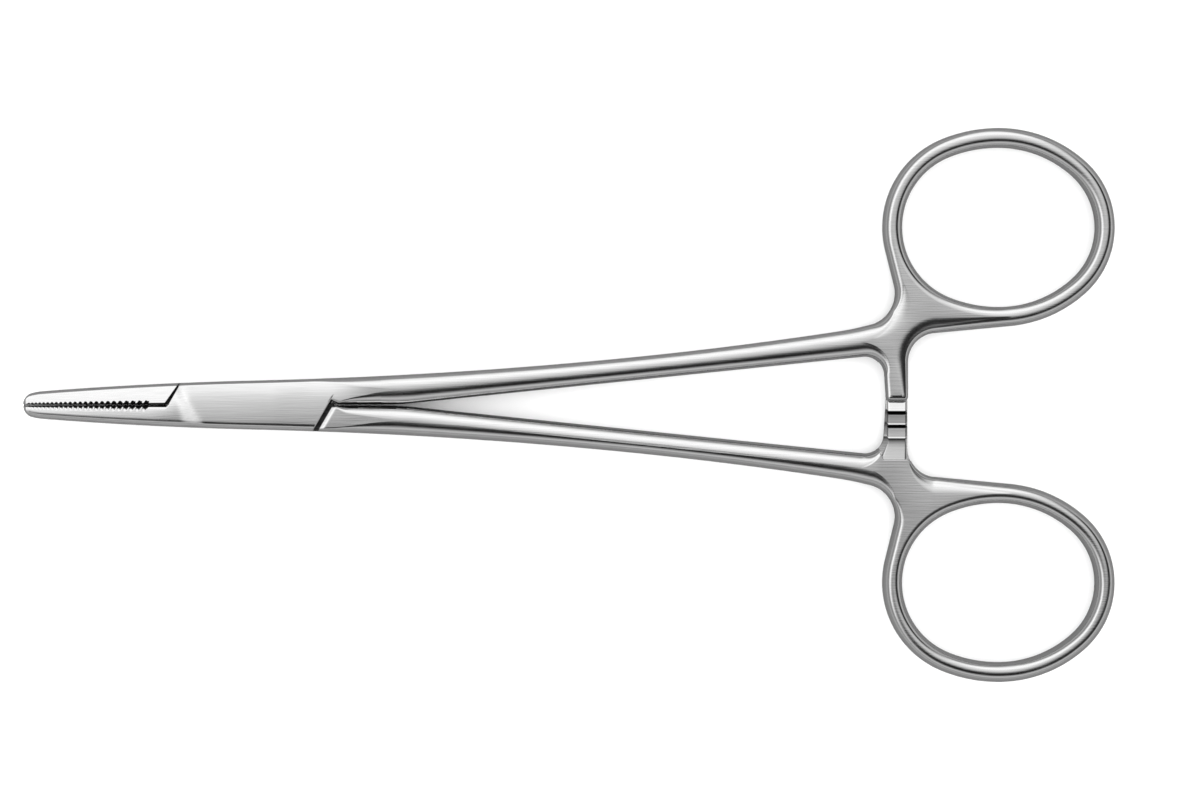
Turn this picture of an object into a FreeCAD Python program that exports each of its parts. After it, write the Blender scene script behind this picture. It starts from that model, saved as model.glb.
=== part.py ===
import FreeCAD, Part
import math
import os

# Needle holder with a box lock. Two forged halves cross in the lock and turn on a riveted pivot.
# Each half is drawn about the pivot: u runs from the jaws to the rings, v across, z through the
# thickness. The "box" half carries the lower jaw, the slotted box and the upper shank and ring. The
# "tongue" half carries the upper jaw, the tongue in the slot and the lower shank and ring.

SIZES = {
    # lengths along the instrument, from the pivot
    "jaw_reach": 31.2,
    "handle_reach": 102.84,
    "shank_split": 20.7,
    # outline of the jaws and the lock
    "tip_half_width": 1.9,
    "jaw_half_width": 2.63,
    "box_half_width": 3.35,
    "nose_length": 2.6,
    "jaw_middle": 17.7,
    "nose_radius": 1.2,
    "jaw_gap_tip": 0.18,
    "jaw_gap_root": 0.44,
    # outline of the shanks
    "box_flare": 1.3,
    "shank_width": 3.2,
    "shank_end_width": 3.85,
    "shank_end_lead": 5.88,
    "shank_gap": 0.2,
    "split_round": 40.0,
    # necks and webs that join the shanks to the rings
    "neck_width": 4.14,
    "neck_lead": 2.84,
    "neck_turn": 14.0,
    "neck_round": 4.4,
    "web_turn": 5.3,
    "web_round": 4.0,
    # finger rings
    "ring_spacing": 48.86,
    "ring_inner_length": 26.52,
    "ring_inner_width": 21.9,
    "ring_band": 2.7,
    "near_end_fullness": 0.95,
    "far_end_fullness": 0.87,
    # thickness
    "box_thickness": 4.6,
    "blank_allowance": 1.0,
    "box_end_thickness": 4.2,
    "cheek_flat": 4.0,
    "taper_start": 12.8,
    "taper_blend": 60.0,
    "tip_thickness": 2.4,
    "shank_thickness": 3.8,
    # box lock
    "slot_height": 1.6,
    "slide_gap": 0.05,
    "wall_width": 1.1,
    "side_gap": 0.08,
    "seam_angle": 30.0,
    "seam_lead": 3.3,
    "jaw_seam": 11.3,
    "shank_seam": 10.7,
    "jaw_seam_gap": 0.55,
    "shank_seam_gap": 0.75,
    "shank_root": 0.75,
    "root_step": 1.0,
    "mouth_reach": 1.2,
    "mouth_lift": 0.04,
    "corner_gap": 0.15,
    "seam_overrun": 0.3,
    "mate_clearance": 0.1,
    "opening_angle": 40.0,
    "stop_gap": 0.04,
    "pin_radius": 1.25,
    "pin_head_radius": 1.6,
    "pin_gap": 0.04,
    # ratchet
    "ratchet_setback": 13.94,
    "ratchet_spread": 14.22,
    "arm_width": 2.9,
    "arm_flare": 0.5,
    "arm_root_round": 2.6,
    "upper_arm_end": 0.55,
    "lower_arm_end": 2.74,
    "lap_reach": 7.67,
    "lap_margin": 1.1,
    "tooth_pitch": 1.88,
    "tooth_height": 0.55,
    "tooth_lean": 0.12,
    "tooth_gap": 0.1,
    "first_tooth": 1.03,
    # serrated jaw faces
    "serration_start": 0.85,
    "serration_pitch_tip": 0.59,
    "serration_pitch_root": 0.84,
    "serration_depth_tip": 0.24,
    "serration_depth_root": 0.32,
    # rounding of the edges
    "shank_round": 1.1,
    "rim_round": 0.55,
}
SERRATIONS = 24
LOWER_TEETH = 4
UPPER_TEETH = 3

doc = FreeCAD.newDocument("needle_holder")
sheet = doc.addObject("Spreadsheet::Sheet", "sizes")
for row, (name, value) in enumerate(SIZES.items(), start=1):
    sheet.set("A%d" % row, name)
    sheet.set("B%d" % row, str(value))
    sheet.setAlias("B%d" % row, name)
doc.recompute()


def size(name):
    """A driving dimension, read from the sheet."""
    return float(sheet.get(name))


# Plane geometry.

def vector(point):
    return FreeCAD.Vector(point[0], point[1], 0)


def slope(degrees):
    return math.tan(math.radians(degrees))


def around(centre, radius, degrees):
    """The point at an angle about a centre."""
    angle = math.radians(degrees)
    return centre[0] + radius * math.cos(angle), centre[1] + radius * math.sin(angle)


def arc_about(centre, radius, first, last):
    """Start, middle and end of an arc about a centre, between two angles in degrees."""
    return [around(centre, radius, angle) for angle in (first, (first + last) / 2, last)]


def tangent_arc(start, heading, end):
    """The arc that leaves start at a heading in degrees and reaches end: its middle and last heading."""
    chord = math.degrees(math.atan2(end[1] - start[1], end[0] - start[0]))
    length = math.dist(start, end)
    sagitta = length / 2 * slope((chord - heading) / 2)
    middle = (
        (start[0] + end[0]) / 2 + sagitta * math.sin(math.radians(chord)),
        (start[1] + end[1]) / 2 - sagitta * math.cos(math.radians(chord)),
    )
    return middle, 2 * chord - heading


def height_on(arc, u):
    """The v at which a flat arc, given by three points, stands over u."""
    circle = Part.Arc(*[vector(point) for point in arc]).toShape().Curve
    centre = circle.Center
    rise = math.sqrt(circle.Radius ** 2 - (u - centre.x) ** 2)
    side = 1 if arc[1][1] > centre.y else -1
    return centre.y + side * rise


def piece_of(arc, u_from, u_to):
    """A stretch of a flat arc as start, middle and end."""
    stations = (u_from, (u_from + u_to) / 2, u_to)
    return [(u, height_on(arc, u)) for u in stations]


def meeting(arc, u_at_axis, lean):
    """Where the line u = u_at_axis + lean * v crosses a flat arc."""
    v = height_on(arc, u_at_axis)
    for _ in range(30):
        u = u_at_axis + lean * v
        v = height_on(arc, u)
    return u, v


def crossing(one, heading, other, other_heading):
    """Where the line through one point at a heading crosses the line through another."""
    way = around((0, 0), 1, heading)
    other_way = around((0, 0), 1, other_heading)
    across = way[0] * other_way[1] - way[1] * other_way[0]
    gap = (other[0] - one[0], other[1] - one[1])
    reach = (gap[0] * other_way[1] - gap[1] * other_way[0]) / across
    return one[0] + way[0] * reach, one[1] + way[1] * reach


def rounded_corner(before, corner, after, radius):
    """Start, middle and end of the arc that rounds a corner between two straight runs."""
    to_before = (vector(before) - vector(corner)).normalize()
    to_after = (vector(after) - vector(corner)).normalize()
    half = to_before.getAngle(to_after) / 2
    reach = radius / math.tan(half)
    bisector = (to_before + to_after).normalize()
    centre = vector(corner) + bisector * (radius / math.sin(half))
    middle = centre - bisector * radius
    start = vector(corner) + to_before * reach
    end = vector(corner) + to_after * reach
    return [(point.x, point.y) for point in (start, middle, end)]


def mirrored(points):
    return [(u, -v) for u, v in points]


def backwards(points):
    return list(reversed(points))


# The outline that both halves share, drawn for a shank on the +v side.

TIP_U = -size("jaw_reach")
RING_U = size("handle_reach")
RING_V = size("ring_spacing") / 2
ARM_U = RING_U - size("ratchet_setback")
ARM_V = size("ratchet_spread") / 2
SPLIT_U = size("shank_split")
INNER_V = size("shank_gap") / 2

# jaw edge: one long flat arc to the widest part over the pivot, rounded at the nose
JAW_CURVE = [
    (TIP_U + size("nose_length"), size("tip_half_width")),
    (-size("jaw_middle"), size("jaw_half_width")),
    (0.0, size("box_half_width")),
]


def nose_arc(radius):
    """The arc that leaves the flat front of the jaw and runs on into its long side."""
    side = Part.Arc(*[vector(point) for point in JAW_CURVE]).toShape().Curve
    u = TIP_U + radius
    v = side.Center.y + math.sqrt((side.Radius - radius) ** 2 - (u - side.Center.x) ** 2)
    away = (vector((u, v)) - side.Center).normalize()
    halfway = (away + vector((-1, 0))).normalize()
    middle = vector((u, v)) + halfway * radius
    end = vector((u, v)) + away * radius
    return [(TIP_U, v), (middle.x, middle.y), (end.x, end.y)]


NOSE = nose_arc(size("nose_radius"))
JAW_EDGE = piece_of(JAW_CURVE, NOSE[2][0], 0.0)

INNER_SLOPE = (ARM_V - INNER_V) / (ARM_U - SPLIT_U)


def inner_edge(u):
    """The inner edge of a shank, straight from the split to the ratchet."""
    return INNER_V + (u - SPLIT_U) * INNER_SLOPE


# shank's outer edge: flat arcs that run on in one smooth line from the lock to the neck of the ring
RING_NEAR_U = RING_U - size("ring_inner_length") / 2 - size("ring_band")
END_U = RING_NEAR_U - size("shank_end_lead")
MID_U = (SPLIT_U + END_U) / 2
NECK_U = RING_NEAR_U - size("neck_lead")
STATIONS = [
    JAW_EDGE[2],
    (MID_U, inner_edge(MID_U) + size("shank_width")),
    (END_U, inner_edge(END_U) + size("shank_end_width")),
    (NECK_U, inner_edge(NECK_U) + size("neck_width")),
]
OUTER_ARCS = []
heading = size("box_flare")
for station, following in zip(STATIONS, STATIONS[1:]):
    middle, heading_after = tangent_arc(station, heading, following)
    OUTER_ARCS.append([station, middle, following])
    heading = heading_after
BOX_EDGE = OUTER_ARCS[0]
NECK_HEADING = heading


def ring_outline(grow, first=-90.0, last=None):
    """The ring's outline, grown outwards from its opening: an oval of arcs with a fuller near end.

    It runs from an angle on its flat side by the shank, round the far end, to an angle on the near end,
    or all the way round where no last angle is given.
    """
    half_length = size("ring_inner_length") / 2
    half_width = size("ring_inner_width") / 2
    ends = []
    for fullness in (size("far_end_fullness"), size("near_end_fullness")):
        small = fullness * half_width
        offset = half_length - small
        large = (offset ** 2 + half_width ** 2 - small ** 2) / (2 * (half_width - small))
        rise = large - half_width
        ends.append((small, offset, large, rise, math.degrees(math.atan2(rise, offset))))
    (far, far_offset, far_side, far_rise, far_meet), near_end = ends
    near, near_offset, near_side, near_rise, near_meet = near_end
    arcs = [
        arc_about((RING_U, RING_V + far_rise), far_side + grow, first, -far_meet),
        arc_about((RING_U + far_offset, RING_V), far + grow, -far_meet, far_meet),
        arc_about((RING_U, RING_V - far_rise), far_side + grow, far_meet, 90),
        arc_about((RING_U, RING_V - near_rise), near_side + grow, 90, 180 - near_meet),
    ]
    near_centre = (RING_U - near_offset, RING_V)
    if last is not None:
        return arcs + [arc_about(near_centre, near + grow, 180 - near_meet, last)]
    return arcs + [
        arc_about(near_centre, near + grow, 180 - near_meet, 180 + near_meet),
        arc_about((RING_U, RING_V + near_rise), near_side + grow, 180 + near_meet, 270),
    ]


RING_OUTER = ring_outline(size("ring_band"), size("web_turn") - 90, size("neck_turn") + 180)
WEB_TOUCH = RING_OUTER[0][0]
NECK_TOUCH = RING_OUTER[-1][2]

# the seams: slanted lines where the box walls end, and the shoulders of the tongue half beyond them
SEAM_SLOPE = slope(size("seam_angle"))
JAW_SEAM_U = size("jaw_seam")
SHANK_SEAM_U = size("shank_seam")
JAW_SHOULDER_U = JAW_SEAM_U + size("jaw_seam_gap")
SHANK_SHOULDER_U = SHANK_SEAM_U + size("shank_seam_gap")

# the stop: a tongue step meets the end of a box wall squarely when the jaws are fully open
OPENING = math.radians(size("opening_angle"))
SLOT_V = size("box_half_width") - size("wall_width")
TONGUE_V = SLOT_V - size("side_gap")
WALL_END_U = (TONGUE_V / math.cos(OPENING) - SLOT_V + size("side_gap")) / math.tan(OPENING)
STEP_U = (TONGUE_V * math.sin(OPENING) - WALL_END_U + size("stop_gap")) / math.cos(OPENING)
SLOT_BEND_U = JAW_SEAM_U - size("seam_lead")

# blanks and cutters reach past the steel by this much
MARGIN = 2.0

# lengths in the model are told apart down to this much
SLIVER = 0.1

# three flats stand for a round edge: the share of its radius in the bevel, and in the two that soften it
BEVEL_SHARE = 0.586
SOFTEN_SHARE = 0.215

# a serration's section: half its width as a share of the pitch, and the height of its straight sides
GROOVE_HALF_SHARE = 0.36
GROOVE_SIDE_SHARE = 0.3


# Drawing and feature helpers.

VOLUMES = {}


def checked(body, feature, change):
    """Recomputes a new feature and makes sure that it changed the volume the way it should."""
    before = VOLUMES.get(body.Name, 0.0)
    doc.recompute()
    after = feature.Shape.Volume
    grown = after - before
    if change == "grows" and grown <= 0 or change == "shrinks" and grown >= 0:
        raise ValueError("%s changes the volume by %.4f" % (feature.Name, grown))
    if not feature.Shape.isValid():
        raise ValueError("%s is not a sound solid" % feature.Name)
    VOLUMES[body.Name] = after
    return feature


def add_sketch(body, role, name, level=0.0):
    """A sketch on one of the body's own origin planes, or at a level above it."""
    sketch = body.newObject("Sketcher::SketchObject", name)
    plane = [item for item in body.Origin.OriginFeatures if item.Role == role][0]
    sketch.AttachmentSupport = [(plane, "")]
    sketch.MapMode = "FlatFace"
    sketch.AttachmentOffset = FreeCAD.Placement(FreeCAD.Vector(0, 0, level), FreeCAD.Rotation())
    return sketch


def draw_line(sketch, start, end):
    sketch.addGeometry(Part.LineSegment(vector(start), vector(end)), False)


def draw_polygon(sketch, corners):
    for corner, following in zip(corners, corners[1:] + corners[:1]):
        draw_line(sketch, corner, following)


def draw_chain(sketch, parts, side=1):
    """A closed outline of arcs (three points) and straight runs that join their ends."""
    parts = [mirrored(part) if side < 0 else part for part in parts]
    for part, following in zip(parts, parts[1:] + parts[:1]):
        if len(part) == 3:
            sketch.addGeometry(Part.Arc(*[vector(point) for point in part]), False)
        if math.dist(part[-1], following[0]) > 1e-6:
            draw_line(sketch, part[-1], following[0])


def pad(body, sketch, name, length):
    """A symmetric pad whose length is an expression on the sheet."""
    feature = body.newObject("PartDesign::Pad", name)
    feature.Profile = sketch
    feature.SideType = "Symmetric"
    feature.setExpression("Length", length)
    return checked(body, feature, "grows")


def pocket(body, sketch, name, length=None):
    """A symmetric pocket, through everything unless a length is given."""
    feature = body.newObject("PartDesign::Pocket", name)
    feature.Profile = sketch
    feature.SideType = "Symmetric"
    if length:
        feature.setExpression("Length", length)
    else:
        feature.Type = "ThroughAll"
    return checked(body, feature, "shrinks")


def dress_edges(body, kind, name, length, chosen):
    """A fillet or chamfer of the edges that the test chooses, its size an expression on the sheet."""
    base = body.Tip
    names = []
    for number, edge in enumerate(base.Shape.Edges, start=1):
        if chosen(edge):
            names.append("Edge%d" % number)
    feature = body.newObject("PartDesign::" + kind, name)
    feature.Base = (base, names)
    feature.setExpression("Radius" if kind == "Fillet" else "Size", length)
    return checked(body, feature, "shrinks")


def samples(edge, count=5):
    first, last = edge.ParameterRange
    return [edge.valueAt(first + (last - first) * i / (count - 1)) for i in range(count)]


# The shank, the ring and the ratchet arm of either half.

def build_shank(body, side, root, arm_end):
    """Shank, finger ring and ratchet arm in one flat piece, rounded all along both faces."""
    beyond_end = arm_end - MARGIN
    left = ARM_U - size("arm_width") / 2
    right = ARM_U + size("arm_width") / 2
    left_root = (left - size("arm_flare"), inner_edge(left - size("arm_flare")))
    right_root = (right, WEB_TOUCH[1] - (WEB_TOUCH[0] - right) * slope(size("web_turn")))
    split = (SPLIT_U, INNER_V)
    neck_corner = crossing(OUTER_ARCS[-1][2], NECK_HEADING, NECK_TOUCH, 90 + size("neck_turn"))
    parts = [[point] for point in root["inner"]]
    parts.append(rounded_corner(root["inner"][-1], split, left_root, size("split_round")))
    parts.append(rounded_corner(split, left_root, (left, beyond_end), size("arm_root_round")))
    parts.append([(left, beyond_end)])
    parts.append([(right, beyond_end)])
    parts.append(rounded_corner((right, beyond_end), right_root, WEB_TOUCH, size("web_round")))
    parts.extend(RING_OUTER)
    parts.append(rounded_corner(NECK_TOUCH, neck_corner, OUTER_ARCS[-1][2], size("neck_round")))
    parts.extend(backwards(arc) for arc in backwards(OUTER_ARCS[1:]))
    parts.append(piece_of(BOX_EDGE, OUTER_ARCS[1][0][0], root["outer_u"]))
    sketch = add_sketch(body, "XY_Plane", body.Name + "_shank_outline")
    draw_chain(sketch, parts, side)
    pad(body, sketch, body.Name + "_shank", "sizes.shank_thickness")

    hole = add_sketch(body, "XY_Plane", body.Name + "_ring_outline")
    draw_chain(hole, ring_outline(0.0), side)
    pocket(body, hole, body.Name + "_ring_hole")

    # the forging's edges are ground round in three flats: a bevel, then both of its own edges
    face_z = size("shank_thickness") / 2
    bevel = BEVEL_SHARE * size("shank_round")

    def at_level(level):
        def chosen(edge):
            points = samples(edge)
            if any(abs(abs(point.z) - level) > 1e-3 for point in points):
                return False
            at_arm_end = all(side * point.y < beyond_end + bevel + 1e-3 for point in points)
            at_root = points[0].x < root["limit_u"] and points[-1].x < root["limit_u"]
            return not at_arm_end and not at_root
        return chosen

    name = body.Name + "_shank_"
    dress_edges(body, "Chamfer", name + "bevel", "sizes.shank_round * %g" % BEVEL_SHARE, at_level(face_z))
    softened = at_level(face_z)
    walls = at_level(face_z - bevel)
    dress_edges(body, "Chamfer", name + "soften", "sizes.shank_round * %g" % SOFTEN_SHARE,
                lambda edge: softened(edge) or walls(edge))


def tooth_line(first, count, last_v):
    """Saw-tooth line for the lower arm: corners from its free end down to last_v."""
    crest = (size("tooth_height") - size("tooth_gap")) / 2
    root = crest - size("tooth_height")
    corners = [(first + size("tooth_pitch"), root)]
    for number in range(count):
        v = first - number * size("tooth_pitch")
        corners.append((v, crest))
        corners.append((v - size("tooth_lean"), root))
    corners.append((last_v, root))
    return corners


def build_ratchet(body, side, arm_end, first, count):
    """Cuts the arm to length, halves its thickness and leaves the teeth standing."""
    end_cut = add_sketch(body, "XY_Plane", body.Name + "_arm_end")
    left = ARM_U - size("arm_width")
    right = ARM_U + size("arm_width")
    beyond = arm_end - 2 * MARGIN
    draw_polygon(end_cut, [(u, side * v) for u, v in (
        (left, arm_end), (right, arm_end), (right, beyond), (left, beyond))])
    pocket(body, end_cut, body.Name + "_arm_cut")

    # the lower arm is cut from above; the upper arm is the same cut turned half round the u axis
    line = tooth_line(first, count, -size("lap_reach"))
    clear = size("shank_thickness")
    past_end = line[0][0] + MARGIN
    corners = line + [(line[-1][0], clear), (past_end, clear), (past_end, line[0][1])]
    lap = add_sketch(body, "YZ_Plane", body.Name + "_teeth", ARM_U)
    draw_polygon(lap, [(-side * v, -side * z) for v, z in corners])
    pocket(body, lap, body.Name + "_lap", "sizes.arm_width + sizes.lap_margin")


# The thickness of the lock and the jaws, and the roundings and grooves on them.

def shape_cheeks(body):
    """Cuts both faces to the lens profile: flat over the pivot, thinner to the jaw's tip and to the shank."""
    profile = add_sketch(body, "XZ_Plane", body.Name + "_cheek_profile")
    box = size("box_thickness") / 2
    tip = size("tip_thickness") / 2
    end = size("box_end_thickness") / 2
    fall = (box - tip) / (size("jaw_reach") - size("taper_start"))
    corner = (-size("taper_start"), box)
    jaw_end = (TIP_U - MARGIN, tip - MARGIN * fall)
    bend = rounded_corner(jaw_end, corner, (0, box), size("taper_blend"))
    last_u = SHANK_SHOULDER_U + MARGIN
    run = [[jaw_end], bend, [(size("cheek_flat"), box)], [(last_u, end)]]
    run += [[(last_u, box + MARGIN)], [(jaw_end[0], box + MARGIN)]]
    draw_chain(profile, run, 1)
    draw_chain(profile, run, -1)
    pocket(body, profile, body.Name + "_cheeks")


def along_outer_edge(edge):
    """Is this a top or bottom edge on the outer contour of a jaw or of the box?"""
    points = samples(edge)
    if abs(points[-1].x - points[0].x) < SLIVER:
        return False
    if min(abs(point.z) for point in points) < size("tip_thickness") / 2 - SLIVER:
        return False
    for point in points:
        if point.x > SHANK_SEAM_U:
            return False
        if point.x > JAW_EDGE[0][0] + 1e-6:
            arc = JAW_EDGE if point.x < 0 else BOX_EDGE
            if abs(abs(point.y) - height_on(arc, point.x)) > 5e-3:
                return False
        elif abs(point.y) < NOSE[0][1] - 1e-3:
            return False
    return True


def build_bore(body, section):
    """The pivot hole, turned from its section."""
    sketch = add_sketch(body, "XZ_Plane", body.Name + "_bore_section")
    draw_polygon(sketch, section)
    groove = body.newObject("PartDesign::Groove", body.Name + "_bore")
    groove.Profile = sketch
    groove.ReferenceAxis = (sketch, ["V_Axis"])
    groove.Angle = 360
    checked(body, groove, "shrinks")


def pin_section():
    """Half the section of the rivet: a shaft with two shallow conical heads."""
    radius = size("pin_radius")
    head = size("pin_head_radius")
    half = size("box_thickness") / 2
    depth = head - radius
    return [(0, -half), (head, -half), (radius, depth - half), (radius, half - depth), (head, half), (0, half)]


def build_serrations(body, side):
    """Round-bottomed grooves across the jaw's face, closer together and shallower towards the tip."""
    sketch = add_sketch(body, "XY_Plane", body.Name + "_serration_section")
    face = size("jaw_gap_tip") / 2
    along = TIP_U + size("serration_start")
    for number in range(SERRATIONS):
        share = number / SERRATIONS
        pitch = size("serration_pitch_tip") * (1 - share) + size("serration_pitch_root") * share
        depth = size("serration_depth_tip") * (1 - share) + size("serration_depth_root") * share
        half = GROOVE_HALF_SHARE * pitch
        corners = [(-half, 0.0), (-half, face + GROOVE_SIDE_SHARE * depth), (-half / 2, face + depth)]
        corners += [(-u, v) for u, v in backwards(corners)]
        draw_polygon(sketch, [(along + u, side * v) for u, v in corners])
        along += pitch
    pocket(body, sketch, body.Name + "_serrations")


# Box half: lower jaw, slotted box, upper shank and ring.

def build_box_half():
    body = doc.addObject("PartDesign::Body", "box_half")
    corner = (SHANK_SEAM_U + SEAM_SLOPE * size("shank_root"), size("shank_root"))
    root = {
        "inner": [(SLOT_BEND_U, size("shank_root")), corner, (corner[0] + size("root_step"), INNER_V)],
        "outer_u": SLOT_BEND_U,
        "limit_u": corner[0] + size("root_step") + SLIVER,
    }
    build_shank(body, 1, root, size("upper_arm_end"))

    sketch = add_sketch(body, "XY_Plane", "box_outline")
    seam_low_u = meeting(BOX_EDGE, SHANK_SEAM_U, -SEAM_SLOPE)[0]
    seam_high_u = meeting(JAW_EDGE, -JAW_SEAM_U, SEAM_SLOPE)[0]
    mate_root_v = -size("jaw_gap_root") / 2
    parts = [
        [(TIP_U, -size("jaw_gap_tip") / 2)],
        mirrored(NOSE),
        mirrored(JAW_EDGE),
        mirrored(piece_of(BOX_EDGE, 0.0, seam_low_u)),
        [corner],
        piece_of(BOX_EDGE, SHANK_SEAM_U - MARGIN, 0.0),
        piece_of(JAW_EDGE, 0.0, seam_high_u),
        [(-JAW_SEAM_U + SEAM_SLOPE * mate_root_v, mate_root_v)],
    ]
    draw_chain(sketch, parts)
    pad(body, sketch, "box_block", "sizes.box_thickness + sizes.blank_allowance")
    shape_cheeks(body)
    dress_edges(body, "Fillet", "box_rim", "sizes.rim_round", along_outer_edge)

    slot = add_sketch(body, "XY_Plane", "slot_outline")
    beyond = size("box_half_width") + MARGIN
    mouth_v = mate_root_v + size("mate_clearance")
    draw_polygon(slot, [
        (SHANK_SEAM_U + MARGIN, -beyond),
        (SHANK_SEAM_U + MARGIN, INNER_V),
        (SHANK_SEAM_U + size("mouth_reach"), INNER_V + size("mouth_lift")),
        (SLOT_BEND_U, SLOT_V),
        (WALL_END_U, SLOT_V),
        (WALL_END_U, beyond),
        (-JAW_SEAM_U - MARGIN, beyond),
        (-JAW_SEAM_U - MARGIN, mouth_v),
        (-JAW_SEAM_U - size("seam_overrun"), mouth_v),
        (-SLOT_BEND_U, -SLOT_V),
        (-WALL_END_U, -SLOT_V),
        (-WALL_END_U, -beyond),
    ])
    pocket(body, slot, "slot", "sizes.slot_height")
    build_bore(body, pin_section())
    build_ratchet(body, 1, size("upper_arm_end"), -size("first_tooth") - size("tooth_pitch"), UPPER_TEETH)
    build_serrations(body, -1)
    return body


# Tongue half: upper jaw, tongue through the slot, lower shank and ring.

def build_tongue_half():
    body = doc.addObject("PartDesign::Body", "tongue_half")
    shoulder_low_u = meeting(BOX_EDGE, SHANK_SHOULDER_U, -SEAM_SLOPE)[0]
    root = {
        "inner": [(SHANK_SHOULDER_U - SEAM_SLOPE * INNER_V, INNER_V)],
        "outer_u": shoulder_low_u,
        "limit_u": SHANK_SHOULDER_U + SLIVER,
    }
    build_shank(body, -1, root, -size("lower_arm_end"))

    block = add_sketch(body, "XY_Plane", "jaw_and_tongue_outline")
    step_end_u = STEP_U + math.tan(OPENING) * (size("box_half_width") - TONGUE_V)
    mate_root_v = size("jaw_gap_root") / 2
    parts = [
        [(TIP_U, size("jaw_gap_tip") / 2)],
        NOSE,
        piece_of(JAW_EDGE, JAW_EDGE[0][0], -step_end_u),
        [(-STEP_U, TONGUE_V)],
        [(SLOT_BEND_U - size("corner_gap"), TONGUE_V)],
        [(SHANK_SHOULDER_U, 0.0)],
        mirrored(piece_of(BOX_EDGE, shoulder_low_u, step_end_u)),
        [(STEP_U, -TONGUE_V)],
        [(size("corner_gap") - SLOT_BEND_U, -TONGUE_V)],
        [(-JAW_SEAM_U, 0.0)],
        [(-JAW_SHOULDER_U + SEAM_SLOPE * mate_root_v, mate_root_v)],
    ]
    draw_chain(block, parts)
    pad(body, block, "jaw_and_tongue", "sizes.box_thickness + sizes.blank_allowance")
    shape_cheeks(body)
    dress_edges(body, "Fillet", "jaw_rim", "sizes.rim_round",
                lambda edge: along_outer_edge(edge) and samples(edge)[0].y > 0)

    reach = 2 * size("box_half_width")
    recess_outline = [
        (-JAW_SHOULDER_U - SEAM_SLOPE * reach, -reach),
        (-JAW_SHOULDER_U + SEAM_SLOPE * reach, reach),
        (SHANK_SHOULDER_U + SEAM_SLOPE * reach, reach),
        (SHANK_SHOULDER_U - SEAM_SLOPE * reach, -reach),
    ]
    for face, level in (("top", 1), ("under", -1)):
        tongue_face = level * (size("slot_height") / 2 - size("slide_gap"))
        sketch = add_sketch(body, "XY_Plane", "recess_outline_" + face, tongue_face)
        draw_polygon(sketch, recess_outline)
        recess = body.newObject("PartDesign::Pocket", "recess_" + face)
        recess.Profile = sketch
        recess.Type = "ThroughAll"
        recess.Reversed = level > 0
        checked(body, recess, "shrinks")
    bore = size("pin_radius") + size("pin_gap")
    half = size("box_thickness") / 2
    build_bore(body, [(0, -half), (bore, -half), (bore, half), (0, half)])
    build_ratchet(body, -1, -size("lower_arm_end"), size("first_tooth"), LOWER_TEETH)
    build_serrations(body, 1)
    return body


# Pivot: a rivet, peened into both countersinks and ground flush.

def build_pivot():
    body = doc.addObject("PartDesign::Body", "pivot_pin")
    sketch = add_sketch(body, "XZ_Plane", "pin_outline")
    draw_polygon(sketch, pin_section())
    turned = body.newObject("PartDesign::Revolution", "pin")
    turned.Profile = sketch
    turned.ReferenceAxis = (sketch, ["V_Axis"])
    turned.Angle = 360
    checked(body, turned, "grows")
    return body


bodies = [build_box_half(), build_tongue_half(), build_pivot()]

# the finished pieces stand with the lock's lower face on the table and the middle of the length at x = 0
for body in bodies:
    body.Label = body.Name
    body.setExpression("Placement.Base.x", "(sizes.jaw_reach - sizes.handle_reach"
                       " - sizes.ring_inner_length / 2 - sizes.ring_band) / 2")
    body.setExpression("Placement.Base.z", "sizes.box_thickness / 2")
doc.recompute()

for item in doc.Objects:
    if "Invalid" in item.State or "Error" in item.State:
        raise ValueError("%s did not compute" % item.Name)
for body in bodies:
    if body.Shape.isNull() or not body.Shape.isValid() or len(body.Shape.Solids) != 1:
        raise ValueError("%s is not one sound solid" % body.Label)

os.makedirs("parts", exist_ok=True)
for body in bodies:
    body.Shape.exportStep("parts/%s.step" % body.Label)
    box = body.Shape.BoundBox
    print("%s %.3f x %.3f x %.3f mm, volume %.1f mm3" % (
        body.Label, box.XLength, box.YLength, box.ZLength, body.Shape.Volume))
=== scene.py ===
import math

import bpy
import numpy as np
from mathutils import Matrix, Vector
from mathutils.geometry import delaunay_2d_cdt


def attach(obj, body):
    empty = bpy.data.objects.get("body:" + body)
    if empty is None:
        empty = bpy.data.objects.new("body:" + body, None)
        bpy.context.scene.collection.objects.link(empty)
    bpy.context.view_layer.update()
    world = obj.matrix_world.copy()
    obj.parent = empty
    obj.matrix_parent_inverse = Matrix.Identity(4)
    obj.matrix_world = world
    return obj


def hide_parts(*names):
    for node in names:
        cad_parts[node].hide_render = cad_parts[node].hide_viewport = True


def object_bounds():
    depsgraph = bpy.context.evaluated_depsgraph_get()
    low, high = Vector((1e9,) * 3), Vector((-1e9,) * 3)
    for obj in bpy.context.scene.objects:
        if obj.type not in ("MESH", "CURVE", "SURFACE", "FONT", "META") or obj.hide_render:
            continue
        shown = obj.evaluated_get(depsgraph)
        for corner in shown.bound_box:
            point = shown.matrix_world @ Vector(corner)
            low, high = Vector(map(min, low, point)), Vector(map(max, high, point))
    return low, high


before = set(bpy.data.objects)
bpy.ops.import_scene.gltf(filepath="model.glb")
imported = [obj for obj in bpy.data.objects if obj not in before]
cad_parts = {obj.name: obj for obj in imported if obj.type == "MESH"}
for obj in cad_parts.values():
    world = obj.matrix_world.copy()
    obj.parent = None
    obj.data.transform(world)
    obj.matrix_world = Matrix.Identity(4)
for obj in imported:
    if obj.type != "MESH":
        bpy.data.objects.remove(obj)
cad_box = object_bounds()

# Studio: a pale sweep under the instrument, a broad soft light over its upper left and a dark flag
# beside it, which draw the bright and the dark line along every polished edge.

PHOTO_WIDTH = 0.16446
PHOTO_CENTRE = (0.00425, 0.00069)
LENS = 135.0
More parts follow.
